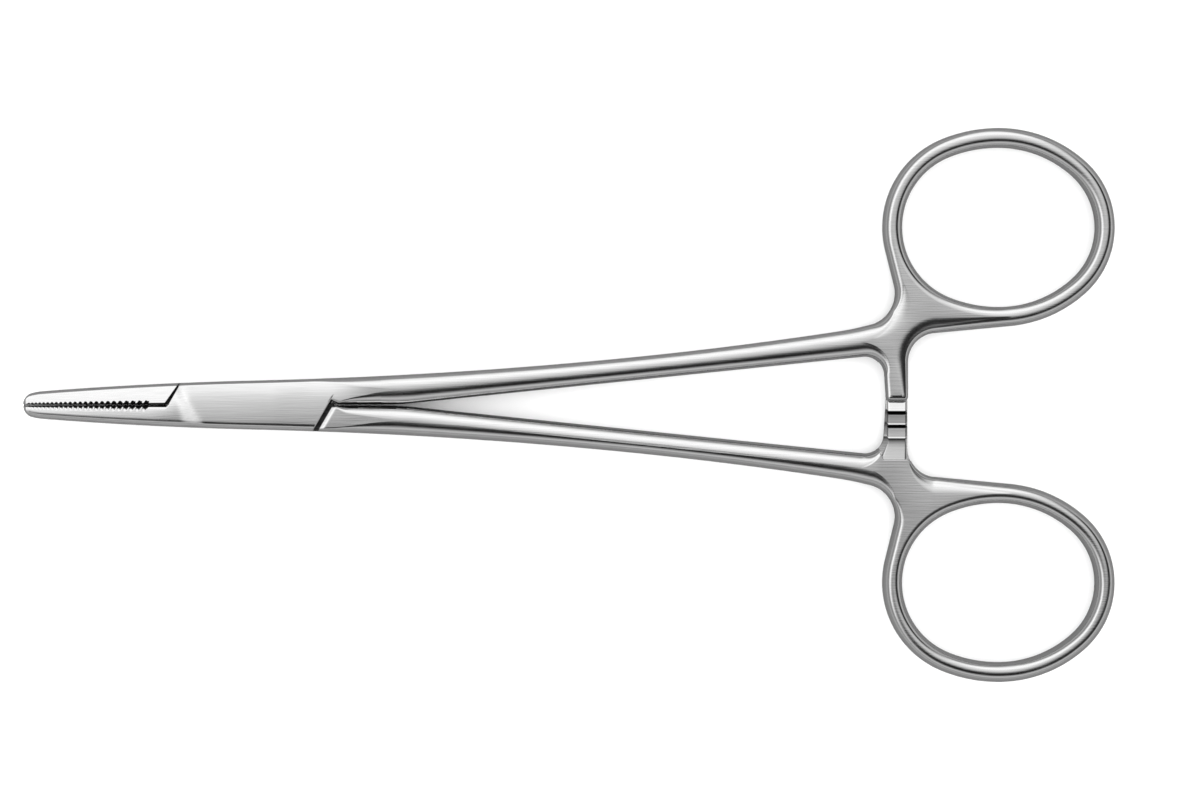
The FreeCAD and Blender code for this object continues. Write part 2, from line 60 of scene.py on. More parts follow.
# Brightness that the steel mirrors, against how far its face tilts, in degrees. Round the flag's middle
# it falls to black along an arc and rises again; towards the upper left an oval soft light takes over.
FLAG_MIDDLE = (5.0, 6.0)
FLAG = [
    (0.0, 0.85),
    (4.0, 0.72),
    (6.0, 0.58),
    (8.0, 0.38),
    (10.5, 0.05),
    (14.6, 0.0),
    (19.0, 0.01),
    (22.5, 0.20),
    (26.0, 0.42),
    (31.0, 0.64),
    (36.0, 0.58),
    (42.0, 0.34),
    (50.0, 0.44),
    (60.0, 0.45),
]
FLAG_TO_LIGHT = (-3.0, 9.0)
LIGHT_SIZE = (17.0, 35.0)
LIGHT = [
    (0.0, 0.85),
    (0.3, 1.20),
    (0.55, 1.40),
    (0.85, 1.18),
    (1.05, 0.70),
    (1.3, 0.33),
    (1.6, 0.28),
    (2.0, 0.42),
    (4.0, 0.45),
]
BRIGHTEST = 2.0
ROOM_LIGHT = 1.9
FLOOR_REACH = 3.0
FLOOR_GAP = 0.0001
FLOOR_SHADE = 0.95
# The floor's colour for glossy rays: a painted reflection that the steel mirrors darker than the floor.
FLOOR_PAINTED_REFLECTION = 0.16


def set_up_camera():
    """A camera straight above, so far away that the photograph's width fills its frame."""
    camera = bpy.data.objects.new("camera", bpy.data.cameras.new("camera"))
    bpy.context.scene.collection.objects.link(camera)
    camera.data.lens = LENS
    height = PHOTO_WIDTH * LENS / camera.data.sensor_width
    camera.location = (*PHOTO_CENTRE, height + cad_box[1][2])
    bpy.context.scene.camera = camera


def join(tree, *sockets):
    """Links sockets in pairs."""
    for source, target in zip(sockets[::2], sockets[1::2]):
        tree.links.new(source, target)


def reckon(tree, operation, *values):
    """A math node on sockets or plain numbers; gives its output socket."""
    node = tree.nodes.new("ShaderNodeMath")
    node.operation = operation
    for index, value in enumerate(values):
        if isinstance(value, (int, float)):
            node.inputs[index].default_value = value
        else:
            tree.links.new(value, node.inputs[index])
    return node.outputs[0]


def distance(tree, tilt, middle, size):
    """How far a tilt lies from a middle, in units of size: the root of the sum of the two squares."""
    squares = []
    for value, centre, reach in zip(tilt, middle, size):
        share = reckon(tree, "DIVIDE", reckon(tree, "SUBTRACT", value, centre), reach)
        squares.append(reckon(tree, "MULTIPLY", share, share))
    return reckon(tree, "SQRT", reckon(tree, "ADD", *squares))


def brightness(tree, value, stops):
    """Looks a value up in a list of places and brightnesses; a ramp holds them as shares of the brightest."""
    ramp = tree.nodes.new("ShaderNodeValToRGB")
    reach = stops[-1][0]
    elements = ramp.color_ramp.elements
    while len(elements) < len(stops):
        elements.new(0.5)
    for element, (place, level) in zip(elements, stops):
        element.position = place / reach
        element.color = (*[level / BRIGHTEST] * 3, 1.0)
    join(tree, reckon(tree, "DIVIDE", value, reach), ramp.inputs[0])
    return ramp.outputs[0]


def background(tree, strength, colour=None):
    """A surface of even light, or of the light that a socket gives."""
    node = tree.nodes.new("ShaderNodeBackground")
    node.inputs["Color"].default_value = (1.0, 1.0, 1.0, 1.0)
    node.inputs["Strength"].default_value = strength
    if colour:
        join(tree, colour, node.inputs["Color"])
    return node.outputs[0]


def light_the_studio():
    """Sets the surroundings: the steel mirrors the flag and the light, and all else gets an even white.

    A face that mirrors a direction (x, y, z) tilts by half of atan(x / z) and of atan(y / z).
    """
    world = bpy.data.worlds.new("studio")
    world.use_nodes = True
    bpy.context.scene.world = world
    tree = world.node_tree
    tree.nodes.clear()
    coordinate = tree.nodes.new("ShaderNodeTexCoord")
    split = tree.nodes.new("ShaderNodeSeparateXYZ")
    join(tree, coordinate.outputs["Generated"], split.inputs[0])
    right, up, above = split.outputs
    half = math.degrees(1) / 2
    tilt = [reckon(tree, "MULTIPLY", reckon(tree, "ARCTAN2", way, above), half) for way in (right, up)]
    side = tree.nodes.new("ShaderNodeMapRange")
    side.inputs["From Min"].default_value = FLAG_TO_LIGHT[0]
    side.inputs["From Max"].default_value = FLAG_TO_LIGHT[1]
    blend = tree.nodes.new("ShaderNodeMix")
    blend.data_type = "RGBA"
    join(tree, reckon(tree, "SUBTRACT", tilt[1], tilt[0]), side.inputs["Value"],
         side.outputs[0], blend.inputs["Factor"],
         brightness(tree, distance(tree, tilt, FLAG_MIDDLE, (1, 1)), FLAG), blend.inputs["A"],
         brightness(tree, distance(tree, tilt, (0, 0), LIGHT_SIZE), LIGHT), blend.inputs["B"])
    paths = tree.nodes.new("ShaderNodeLightPath")
    mix = tree.nodes.new("ShaderNodeMixShader")
    output = tree.nodes.new("ShaderNodeOutputWorld")
    join(tree, paths.outputs["Is Glossy Ray"], mix.inputs[0], background(tree, ROOM_LIGHT), mix.inputs[1],
         background(tree, BRIGHTEST, blend.outputs["Result"]), mix.inputs[2],
         mix.outputs[0], output.inputs[0])


def lay_the_floor():
    """A large flat sweep, pale to the eye but darker for glossy rays: a painted reflection in the steel."""
    mesh = bpy.data.meshes.new("floor")
    corners = np.array([(-1, -1, 0), (1, -1, 0), (1, 1, 0), (-1, 1, 0)]) * FLOOR_REACH
    mesh.from_pydata(corners, [], [(0, 1, 2, 3)])
    floor = bpy.data.objects.new("floor", mesh)
    floor.location.z = -FLOOR_GAP
    bpy.context.scene.collection.objects.link(floor)
    finish = bpy.data.materials.new("pale_sweep")
    finish.use_nodes = True
    tree = finish.node_tree
    shader = tree.nodes["Principled BSDF"]
    shader.inputs["Roughness"].default_value = 0.9
    # Glossy rays see the darker colour: a painted reflection.
    paths = tree.nodes.new("ShaderNodeLightPath")
    shade = tree.nodes.new("ShaderNodeMix")
    shade.data_type = "RGBA"
    shade.inputs["A"].default_value = (*[FLOOR_SHADE] * 3, 1.0)
    shade.inputs["B"].default_value = (*[FLOOR_PAINTED_REFLECTION] * 3, 1.0)
    join(tree, paths.outputs["Is Glossy Ray"], shade.inputs["Factor"],
         shade.outputs["Result"], shader.inputs["Base Color"])
    mesh.materials.append(finish)


set_up_camera()
light_the_studio()
lay_the_floor()
bpy.context.scene.view_settings.view_transform = "Standard"

# Box half: one stainless forging with the lower jaw, the slotted box of the lock, and the upper
# shank with its finger ring and ratchet arm. Its faces are ground along the length and brushed to a
# satin, and its edges are rounded and polished. Lengths are in millimetres from the pivot.

# The outline of a half, seen from above: u along the instrument, v across it.
PIVOT = np.array([-43.8, 0.0, 2.3])
JAW_REACH = 31.2
HANDLE_REACH = 102.84
SPLIT_U = 20.7
INNER_V = 0.1
SHANK_END_LEAD = 5.88
NECK_LEAD = 2.84
SHANK_WIDTHS = (3.2, 3.85, 4.14)
LOCK_HEADING = 1.3
# The jaws, with their noses and grooves.
TIP_HALF_WIDTH = 1.9
JAW_HALF_WIDTH = 2.63
JAW_MIDDLE = 17.7
BOX_HALF_WIDTH = 3.35
NOSE_LENGTH = 2.6
NOSE_RADIUS = 1.2
NOSE_SWEEP = 80.0
MATE_GAP_TIP = 0.09
MATE_GAP_ROOT = 0.22
SERRATIONS = 24
SERRATION_START = 0.85
SERRATION_PITCH = (0.48, 0.96)
SERRATION_DEPTH = (0.14, 0.36)
GROOVE_HALF_SHARE = 0.36
GROOVES_END_U = 12.9
GROOVES_IN_RIM = 0.6
GROOVE_STEP = 0.06
JAW_STEP = 0.2
LEAST_STEP = 0.05
SLANT_START_U = -25.0
FULL_RIM_WIDTH = 1.5
NOSE_GAP = 0.25
NOSE_GAP_LENGTH = 0.35
NOSE_FALL = 0.4
NOSE_FALL_LENGTH = 0.5
CLOSED_V = 0.02
NOSE_ROUNDING = 0.42
# The finger ring, an oval of four arcs, and the ratchet arm beside it.
RING_V = 24.43
RING_HALF_LENGTH = 13.26
RING_HALF_WIDTH = 10.95
RING_BAND = 2.7
NEAR_FULLNESS = 0.95
FAR_FULLNESS = 0.87
ARM_U = HANDLE_REACH - 13.94
ARM_V = 7.11
ARM_WIDTH = 2.9
ARM_FLARE = 0.5
# Heights of the faces over mid thickness, with each fall given by its start, its end and its depth.
BOX_TOP = 2.3
ROOT_FALLS = ((3.0, 11.0, 0.15), (9.0, 24.0, 0.25))
RIDGE_V = -2.1
RIDGE_REACH = 6.0
LOCK_BULGE = 100.0
EDGE_LINE_V = 0.3
EDGE_REACH = 3.4
EDGE_FALL = 0.007
CROWN_END_U = 8.0
TIP_TOP = 1.2
SHANK_TOP = 1.9
# The slanted step between the lock's face and the jaws', and the crowns of the jaws.
LOCK_FACE_U = -8.0
LOCK_FACE_LEAN = 0.65
LOCK_STEP_V = 2.4
LOCK_STEP_REACH = 5.0
LOCK_STEP_WIDTH = 1.2
LOCK_STEP_SPREAD = 0.45
LOCK_STEP_SLOPE = 0.08
LOCK_STEP_LEAD = 0.3
JAW_RIDGE_REACH = 5.0
UPPER_JAW_BULGE = 34.0
UPPER_JAW_RISE = 0.14
LOWER_JAW_BULGE = 30.0
LOWER_JAW_RISE = 0.06
LOWER_JAW_BLEND = (8.0, 13.5)
# The lock's seams, and the shanks' roots beyond them.
SEAM_SLOPE = math.tan(math.radians(30))
SEAM_BEVEL = 0.14
SEAM_FALL = 0.12
CHEEK_STEP = 0.15
JAW_SEAM = 11.3
SHANK_SEAM = 10.7
SHANK_SEAM_V = 0.75
SEAM_END_U = 12.07
UPRIGHT_FROM_U = 13.0
FULL_RIM_U = 14.0
SEAM_RIM_SHARE = 0.4
SHOULDER_REACH = 0.6
SHOULDER_POWER = 1.3
ROOT_END = 18.0
ROUNDING_U = (8.5, ROOT_END + 3.0)
# The slot through the lock and the walls that close its sides.
SLOT_TOP = 0.8
SLOT_V = 2.25
SLOT_BEND = 8.0
WALL_END = 0.79
LOWER_WALL = [(-WALL_END, -SLOT_V), (-SLOT_BEND, -SLOT_V), (-11.43, -MATE_GAP_ROOT)]
LOWER_WALL_EDGE = (-13.0, -WALL_END)
UPPER_WALL = [(WALL_END, SLOT_V), (SLOT_BEND, SLOT_V), (11.05, 0.6)]
UPPER_WALL_EDGE = (12.75, WALL_END)
# Where the near-black painted shade goes: the slot's length, the split and the mating faces.
SLOT_END_U = 13.5
SPLIT_FROM_U = 11.0
SPLIT_V = 0.3
MATE_V = 0.75
# The arms, half as thick where they lap.
LAP_REACH = 7.67
LAP_LEVEL = 0.325
UPPER_ARM_END = 0.55
# Steps of the meshes, and the rims that round every edge.
POINT_STEP = 0.3
TURN_STEP = 4.0
ROWS = 12
ROW_TURN = np.radians(np.linspace(0, 90, ROWS + 1))
FALL_ROWS = 5
ALL_ROWS = ROWS + FALL_ROWS
NO_FALL = 0.02
WALL_LEFT = 0.06
LEAST_WALL = 0.05
SMOOTH_JOINT = 0.97
NARROW_RIM = (0.40, 0.62, 1.35, 0.2, 0.01)
ROUND_SHARE = 0.48
ROUND_FULLNESS = 2.4
# The brushed steel.
STREAKS_PER_METRE = (180.0, 7000.0, 7000.0)
CLOUDS_PER_METRE = 160.0
STREAK_DARKER = 0.04
STREAK_LIGHTER = 0.03
GRAIN_DEPTH = 0.00002


def arc_about(centre, radius, first, last):
    """Points centre + radius (cos a, sin a), with a in even steps between two angles in degrees."""
    sweep = abs(last - first)
    count = max(3, math.ceil(max(sweep / TURN_STEP, math.radians(sweep) * radius / POINT_STEP)) + 1)
    angle = np.radians(np.linspace(first, last, count))
    return np.asarray(centre) + radius * np.column_stack((np.cos(angle), np.sin(angle)))


def straight(start, end):
    """Points in even steps on a straight line."""
    start, end = np.asarray(start, float), np.asarray(end, float)
    count = max(2, math.ceil(np.linalg.norm(end - start) / POINT_STEP) + 1)
    return start + np.linspace(0, 1, count)[:, None] * (end - start)


def bend(start, heading, end):
    """Points on the arc that leaves start at a heading and reaches end, and its last heading.

    The heading h turns evenly, so a point is start + R (sin h - sin h0, cos h0 - cos h).
    """
    reach = np.subtract(end, start)
    chord = math.degrees(math.atan2(reach[1], reach[0]))
    turn = 2 * math.radians(chord - heading)
    radius = np.linalg.norm(reach) / (2 * math.sin(turn / 2))
    count = math.ceil(np.linalg.norm(reach) / POINT_STEP) + 1
    angle = math.radians(heading) + np.linspace(0, turn, count)
    swing = np.column_stack((np.sin(angle) - math.sin(angle[0]), math.cos(angle[0]) - np.cos(angle)))
    return np.asarray(start) + radius * swing, 2 * chord - heading


def rounded_corner(before, corner, after, radius):
    """Points on the arc that rounds the corner between two straight runs."""
    before, corner, after = (np.asarray(point, float) for point in (before, corner, after))
    one = (before - corner) / np.linalg.norm(before - corner)
    two = (after - corner) / np.linalg.norm(after - corner)
    half = math.acos(one @ two) / 2
    centre = corner + (one + two) / np.linalg.norm(one + two) * radius / math.sin(half)
    start = corner + one * radius / math.tan(half) - centre
    end = corner + two * radius / math.tan(half) - centre
    first = math.degrees(math.atan2(start[1], start[0]))
    sweep = (math.degrees(math.atan2(end[1], end[0])) - first + 180) % 360 - 180
    return arc_about(centre, radius, first, first + sweep)


def crossing(one, heading, other, other_heading):
    """Where two lines, each a point and a heading in degrees, cross."""
    angles = np.radians([heading, other_heading])
    ways = np.array([np.cos(angles), np.sin(angles)])
    reach = np.linalg.solve(ways * [1, -1], np.subtract(other, one))
    return np.asarray(one) + ways[:, 0] * reach[0]


def circle_through(first, second, third):
    """Centre and radius of the circle through three points."""
    first, second, third = (np.asarray(point, float) for point in (first, second, third))
    chords = np.array([second - first, third - first])
    centre = np.linalg.solve(2 * chords, [second @ second - first @ first, third @ third - first @ first])
    return centre, np.linalg.norm(first - centre)


JAW_CENTRE, JAW_RADIUS = circle_through((NOSE_LENGTH - JAW_REACH, TIP_HALF_WIDTH),
                                        (-JAW_MIDDLE, JAW_HALF_WIDTH), (0.0, BOX_HALF_WIDTH))
NOSE_U = NOSE_RADIUS - JAW_REACH
NOSE_V = JAW_CENTRE[1] + math.sqrt((JAW_RADIUS - NOSE_RADIUS) ** 2 - (NOSE_U - JAW_CENTRE[0]) ** 2)
NOSE_END_U = NOSE_U + (NOSE_U - JAW_CENTRE[0]) / (JAW_RADIUS - NOSE_RADIUS) * NOSE_RADIUS


def inner_edge(u):
    """The shank's inner edge: along the middle to the split, then a straight line to the ratchet."""
    return INNER_V + np.maximum(u - SPLIT_U, 0) * (ARM_V - INNER_V) / (ARM_U - SPLIT_U)


NEAR_U = HANDLE_REACH - RING_HALF_LENGTH - RING_BAND
END_U = NEAR_U - SHANK_END_LEAD
MID_U = (SPLIT_U + END_U) / 2
NECK_U = NEAR_U - NECK_LEAD
STATIONS = [(0.0, BOX_HALF_WIDTH)]
for station, width in zip((MID_U, END_U, NECK_U), SHANK_WIDTHS):
    STATIONS.append((station, inner_edge(station) + width))
SHANK_RUNS = []
heading = LOCK_HEADING
for station, following in zip(STATIONS, STATIONS[1:]):
    run, heading = bend(station, heading, following)
    SHANK_RUNS.append(run)
NECK_HEADING = heading
SHANK_LINE = np.vstack(SHANK_RUNS)


def half_width(u):
    """Half the width of the closed jaws and the lock: an arc for the nose, the jaw and the shank each."""
    u = np.asarray(u, float)
    jaw = JAW_CENTRE[1] + np.sqrt(JAW_RADIUS ** 2 - np.minimum(u - JAW_CENTRE[0], 0) ** 2)
    nose = NOSE_V + np.sqrt(np.maximum(NOSE_RADIUS ** 2 - (u - NOSE_U) ** 2, 0))
    shank = np.interp(u, SHANK_LINE[:, 0], SHANK_LINE[:, 1])
    return np.where(u < NOSE_END_U, nose, np.where(u < 0, jaw, shank))


def ring_arcs(grow, first, last):
    """The ring's outline, grown outwards from its opening, as runs between two angles in degrees.

    Each end of the oval is a small arc of fullness times the half width, and larger arcs join them.
    """
    ends = []
    for fullness in (FAR_FULLNESS, NEAR_FULLNESS):
        small = fullness * RING_HALF_WIDTH
        offset = RING_HALF_LENGTH - small
        large = (offset ** 2 + RING_HALF_WIDTH ** 2 - small ** 2) / (2 * (RING_HALF_WIDTH - small))
        rise = large - RING_HALF_WIDTH
        ends.append((small + grow, offset, large + grow, rise, math.degrees(math.atan2(rise, offset))))
    (far, far_offset, far_side, far_rise, far_meet), near_end = ends
    near, near_offset, near_side, near_rise, near_meet = near_end
    u, v = HANDLE_REACH, RING_V
    return [
        arc_about((u, v + far_rise), far_side, first, -far_meet),
        arc_about((u + far_offset, v), far, -far_meet, far_meet),
        arc_about((u, v - far_rise), far_side, far_meet, 90),
        arc_about((u, v - near_rise), near_side, 90, 180 - near_meet),
        arc_about((u - near_offset, v), near, 180 - near_meet, min(last, 180 + near_meet)),
    ] + ([arc_about((u, v + near_rise), near_side, 180 + near_meet, last)] if last > 180 + near_meet else [])


def ease(value, first, last):
    """A smooth rise from 0 at first to 1 at last."""
    share = np.clip((np.asarray(value, float) - first) / (last - first), 0, 1)
    return share * share * (3 - 2 * share)


def crown(u, v):
    """How far the lock's crowned face lies under its ridge, fading out along the shank.

    It is w^2 / bulge with w the way from the ridge, and nearer the edge also fall x^3 with x the way
    past a line.
    """
    from_ridge = np.minimum(v - RIDGE_V, RIDGE_REACH)
    past_line = np.clip(v - EDGE_LINE_V, 0, EDGE_REACH)
    return (from_ridge ** 2 / LOCK_BULGE + EDGE_FALL * past_line ** 3) * (1 - ease(u, CROWN_END_U, ROOT_END))


def ridge_top(u):
    """Height over the middle: even over the pivot, and in two smooth falls down to the shank."""
    return BOX_TOP - sum(fall * ease(u, first, last) for first, last, fall in ROOT_FALLS)


def box_top(u, v):
    """Height of the crowned face at the root of a shank."""
    return ridge_top(u) - crown(u, v)


def limb_top(u, v):
    """Height of the shanks, rings and arms, the same at each v."""
    return ridge_top(u) + np.zeros_like(v)


def shank_rim(u):
    """The rim of a shank over u: narrow by the lock, and so wide further on that both sides nearly meet."""
    share = ease(u, *ROUNDING_U)[..., None]
    width = np.interp(u, SHANK_LINE[:, 0], SHANK_LINE[:, 1]) - inner_edge(u)
    full = np.broadcast_arrays(ROUND_SHARE * width, ridge_top(u) - WALL_LEFT, ROUND_FULLNESS, NO_FALL, 0.0)
    return np.multiply(NARROW_RIM, 1 - share) + np.stack(full, axis=-1) * share


def with_rim(run, first, last=None):
    """A run of an outline with a rim that changes evenly from its first point to its last."""
    first = np.asarray(first, float)
    last = first if last is None else np.asarray(last, float)
    share = np.linspace(0, 1, len(run))[:, None]
    return run, first + (last - first) * share


def along_shank(run):
    """A run of a shank's edge with the rim that belongs there."""
    return run, shank_rim(run[:, 0])


def rim_rows(rim):
    """How far each row of a rim lies in from the wall and under the face.

    A rim is its reach, its drop and its fullness n, then the reach and the drop of the gentle fall that
    leads to it: in = reach (1 - cos^(2/n) a), under = drop (1 - sin^(2/n) a) with a from 0 to 90 degrees,
    and then in = reach + fall reach s, under = fall drop (1 - s)^2 with s from 0 to 1.
    """
    columns = np.moveaxis(np.asarray(rim), -1, 0)[..., None]
    reach, drop, fullness, fall_reach, fall_drop = columns
    inward = reach * (1 - np.maximum(np.cos(ROW_TURN), 0) ** (2 / fullness))
    under = (drop - fall_drop) * (1 - np.sin(ROW_TURN) ** (2 / fullness)) + fall_drop
    share = np.linspace(0, 1, FALL_ROWS + 1)[1:]
    inward = np.concatenate((inward, reach + fall_reach * share), axis=-1)
    return inward, np.concatenate((under, fall_drop * (1 - share) ** 2), axis=-1)


def scaled_rim(rim, factor):
    """A rim with its four lengths scaled and its fullness kept."""
    return np.asarray(rim) * np.where([True, True, False, True, True], factor, 1)


def walk(parts):
    """Joins runs into one loop with the steel on its left.

    Gives its points, and for the edges before and after each its inward normal and its rim.
    """
    ways = []
    for run, _ in parts:
        way = np.gradient(run, axis=0)
        way /= np.linalg.norm(way, axis=1)[:, None]
        ways.append(np.column_stack((-way[:, 1], way[:, 0])))
    points, sides = [], ([], [], [], [])
    for number, (run, rim) in enumerate(parts):
        after = (number + 1) % len(parts)
        points.append(run[1:])
        sides[0].append(ways[number][1:])
        sides[1].append(np.vstack((ways[number][1:-1], ways[after][:1])))
        sides[2].append(rim[1:])
        sides[3].append(np.vstack((rim[1:-1], parts[after][1][:1])))
    return np.vstack(points), [np.vstack(side) for side in sides]


def moved_in(points, one, two, first, second):
    """Moves points in by a distance from each of the two edges that meet there.

    With c the cosine between their normals, the shares are (first - c second) / (1 - c^2) and the
    other way round; where the edges run on smoothly it is half of each.
    """
    lean = np.sum(one * two, axis=1)
    smooth = lean > SMOOTH_JOINT
    spread = np.where(smooth, 2.0, 1 - lean ** 2)
    by_one = np.where(smooth, first, first - lean * second) / spread
    by_two = np.where(smooth, second, second - lean * first) / spread
    return points + one * by_one[:, None] + two * by_two[:, None]


def inside(points, loops):
    """Which points lie inside the loops and outside their holes: those with an odd count of edges above."""
    odd = np.zeros(len(points), bool)
    for loop in loops:
        one, two = loop, np.roll(loop, -1, axis=0)
        u, v = points[:, 0][:, None], points[:, 1][:, None]
        spans = (one[:, 0] > u) != (two[:, 0] > u)
        run = np.where(spans, two[:, 0] - one[:, 0], 1)
        height = one[:, 1] + (u - one[:, 0]) / run * (two[:, 1] - one[:, 1])
        odd ^= (np.sum(spans & (height > v), axis=1) % 2).astype(bool)
    return odd


def filled(loops):
    """Triangles that fill flat loops, holes left open; they count through the loops' points in turn."""
    points = np.vstack(loops)
    edges, start = [], 0
    for loop in loops:
        edges += [(start + i, start + (i + 1) % len(loop)) for i in range(len(loop))]
        start += len(loop)
    found = delaunay_2d_cdt([Vector(point) for point in points], edges, [], 0, 1e-9)
    origin = [sources[0] if sources else -1 for sources in found[3]]
    triangles = np.array([[origin[corner] for corner in face] for face in found[2]])
    triangles = triangles[(triangles >= 0).all(axis=1)]
    keep = inside(points[triangles].mean(axis=1), loops)
    return triangles[keep]


def turned_out(vertices, faces):
    """Faces turned so that the closed shell's normals point outwards."""
    volume = 0.0
    for size in {len(face) for face in faces}:
        group = np.array([face for face in faces if len(face) == size])
        corners = vertices[group]
        for k in range(1, size - 1):
            volume += np.sum(np.cross(corners[:, 0], corners[:, k]) * corners[:, k + 1])
    return faces if volume > 0 else [face[::-1] for face in faces]


def rising_rows(parts, level, side, top):
    """Rows of points from a loop at a level up its wall and its rim to the face, each row a closed ring.

    Where a wall is lower than its rim's drop, the drop shrinks to what the wall has room for.
    """
    points, (one, two, first, second) = walk(parts)
    inward_one, under_one = rim_rows(first)
    inward_two, under_two = rim_rows(second)
    deepest = np.maximum(np.maximum(under_one[:, 0], under_two[:, 0]), 1e-9)
    rows = [np.column_stack((points, np.full(len(points), level)))]
    for k in range(ALL_ROWS + 1):
        flat = moved_in(points, one, two, inward_one[:, k], inward_two[:, k])
        height = top(flat[:, 0], flat[:, 1])
        room = height - side * level - LEAST_WALL
        under = np.maximum(under_one[:, k], under_two[:, k]) * np.minimum(1, room / deepest)
        rows.append(np.column_stack((flat, side * (height - under))))
    return rows


def plate(loops, level, side, top=limb_top):
    """Closed shell from a flat at a level to a rimmed face above it (side 1) or under it (side -1).

    Each loop of an outline rises by the rows of its rim to the height of the face, which fills it.
    """
    rows = list(zip(*(rising_rows(parts, level, side, top) for parts in loops)))
    vertices = np.vstack([np.vstack(row) for row in rows])
    total = sum(len(loop) for loop in rows[0])
    faces, start = [], 0
    for loop in rows[0]:
        index = start + np.arange(len(loop))
        ahead = np.roll(index, -1)
        for _ in range(ALL_ROWS + 1):
            faces += np.column_stack((index, ahead, ahead + total, index + total)).tolist()
            index, ahead = index + total, ahead + total
        start += len(loop)
    faces += filled([loop[:, :2] for loop in rows[0]])[:, ::-1].tolist()
    faces += (filled([loop[:, :2] for loop in rows[-1]]) + total * (ALL_ROWS + 1)).tolist()
    return vertices, turned_out(vertices, faces)


def loft(sections):
    """Closed shell through closed sections with equal counts of points, filled at both ends."""
    count, around = sections.shape[:2]
    index = np.arange(count * around).reshape(count, around)
    ahead = np.roll(index, -1, axis=1)
    faces = np.stack((index[:-1], index[1:], ahead[1:], ahead[:-1]), axis=-1).reshape(-1, 4).tolist()
    faces += [index[0].tolist(), index[-1][::-1].tolist()]
    vertices = sections.reshape(-1, 3)
    return vertices, turned_out(vertices, faces)


def bar(stations, slant, low, high, low_rim, high_rim, top, floor=None, end_fall=0.0, middles=None):
    """Closed shell of a bar across u from an edge low to an edge high, each with its rim.

    A section stands on the line u = station + slant v. Its face is top(u, v); its under side is the
    same face mirrored, or flat where a floor is given. Its walls may end elsewhere at mid height.
    """
    low_middle, high_middle = (low, high) if middles is None else middles
    low_in, low_under = rim_rows(low_rim)
    high_in, high_under = rim_rows(high_rim)
    share = np.linspace(0, 1, 14)[1:-1]
    first = low + low_in[:, -1]
    last = high - high_in[:, -1]
    v = np.hstack((low[:, None] + low_in, first[:, None] + share * (last - first)[:, None],
                   (high[:, None] - high_in)[:, ::-1]))
    under = np.hstack((low_under, np.zeros((len(v), len(share))), high_under[:, ::-1]))
    u = stations[:, None] + np.asarray(slant)[:, None] * v
    z = top(u, v) - under - np.asarray(end_fall)[..., None]
    face = np.stack((u, v, z), axis=-1)
    if floor is None:
        waist = np.stack((stations, np.zeros(len(stations)), np.zeros(len(stations))), axis=-1)[:, None]
        low_waist = waist + low_middle[:, None, None] * [0, 1, 0]
        high_waist = waist + high_middle[:, None, None] * [0, 1, 0]
        low_waist[..., 0] += np.asarray(slant)[:, None] * low_middle[:, None]
        high_waist[..., 0] += np.asarray(slant)[:, None] * high_middle[:, None]
        face = np.concatenate((low_waist, face, high_waist), axis=1)
        back = (face * [1, 1, -1])[:, -2:0:-1]
    else:
        back = face[:, [-1, 0]] * [1, 1, 0] + [0, 0, floor]
    return loft(np.concatenate((face, back), axis=1))


def mirrored_z(shell):
    """The same shell upside down."""
    vertices, faces = shell
    return vertices * [1, 1, -1], [face[::-1] for face in faces]


def mirrored_v(shell):
    """The same shell on the other side of the middle line."""
    vertices, faces = shell
    return vertices * [1, -1, 1], [face[::-1] for face in faces]


def assemble(name, shells, painted_shade=None, painted_light=None, sharp=35.0):
    """One object from closed shells, placed in the row frame; edges that turn by more than sharp stay sharp.

    The rule on centres and normals picks the faces that get the near-black material: painted shade in the
    gaps between the parts. The rule on points gives a painted shade and highlight that multiply the colour.
    """
    vertices, faces, start = [], [], 0
    for points, polygons in shells:
        vertices.append(points)
        faces += [[corner + start for corner in polygon] for polygon in polygons]
        start += len(points)
    mesh = bpy.data.meshes.new(name)
    mesh.from_pydata((np.vstack(vertices) + PIVOT) / 1000, [], faces)
    mesh.polygons.foreach_set("use_smooth", [True] * len(mesh.polygons))
    mesh.set_sharp_from_angle(angle=math.radians(sharp))
    if painted_shade:
        centres, normals = np.empty(len(faces) * 3), np.empty(len(faces) * 3)
        mesh.polygons.foreach_get("center", centres)
        mesh.polygons.foreach_get("normal", normals)
        # The picked faces take the second, near-black material: painted shade.
        dark = painted_shade(centres.reshape(-1, 3) * 1000 - PIVOT, normals.reshape(-1, 3))
        mesh.polygons.foreach_set("material_index", dark.astype(int))
    points = np.vstack(vertices)
    painted_brightness = mesh.attributes.new("painted_light", "FLOAT", "POINT")
    painted_brightness.data.foreach_set("value", painted_light(points) if painted_light else np.ones(len(points)))
    piece = bpy.data.objects.new(name, mesh)
    bpy.context.scene.collection.objects.link(piece)
    return piece


def noise(tree, place, scale, detail):
    """A noise over a place in space."""
    node = tree.nodes.new("ShaderNodeTexNoise")
    node.inputs["Scale"].default_value = scale
    node.inputs["Detail"].default_value = detail
    join(tree, place, node.inputs["Vector"])
    return node.outputs["Fac"]


def spread_over(tree, value, low, high):
    """A noise's usual range, 0.3 to 0.7, spread evenly from low to high."""
    node = tree.nodes.new("ShaderNodeMapRange")
    for socket, level in zip(("From Min", "From Max", "To Min", "To Max"), (0.3, 0.7, low, high)):
        node.inputs[socket].default_value = level
    join(tree, value, node.inputs["Value"])
    return node.outputs[0]


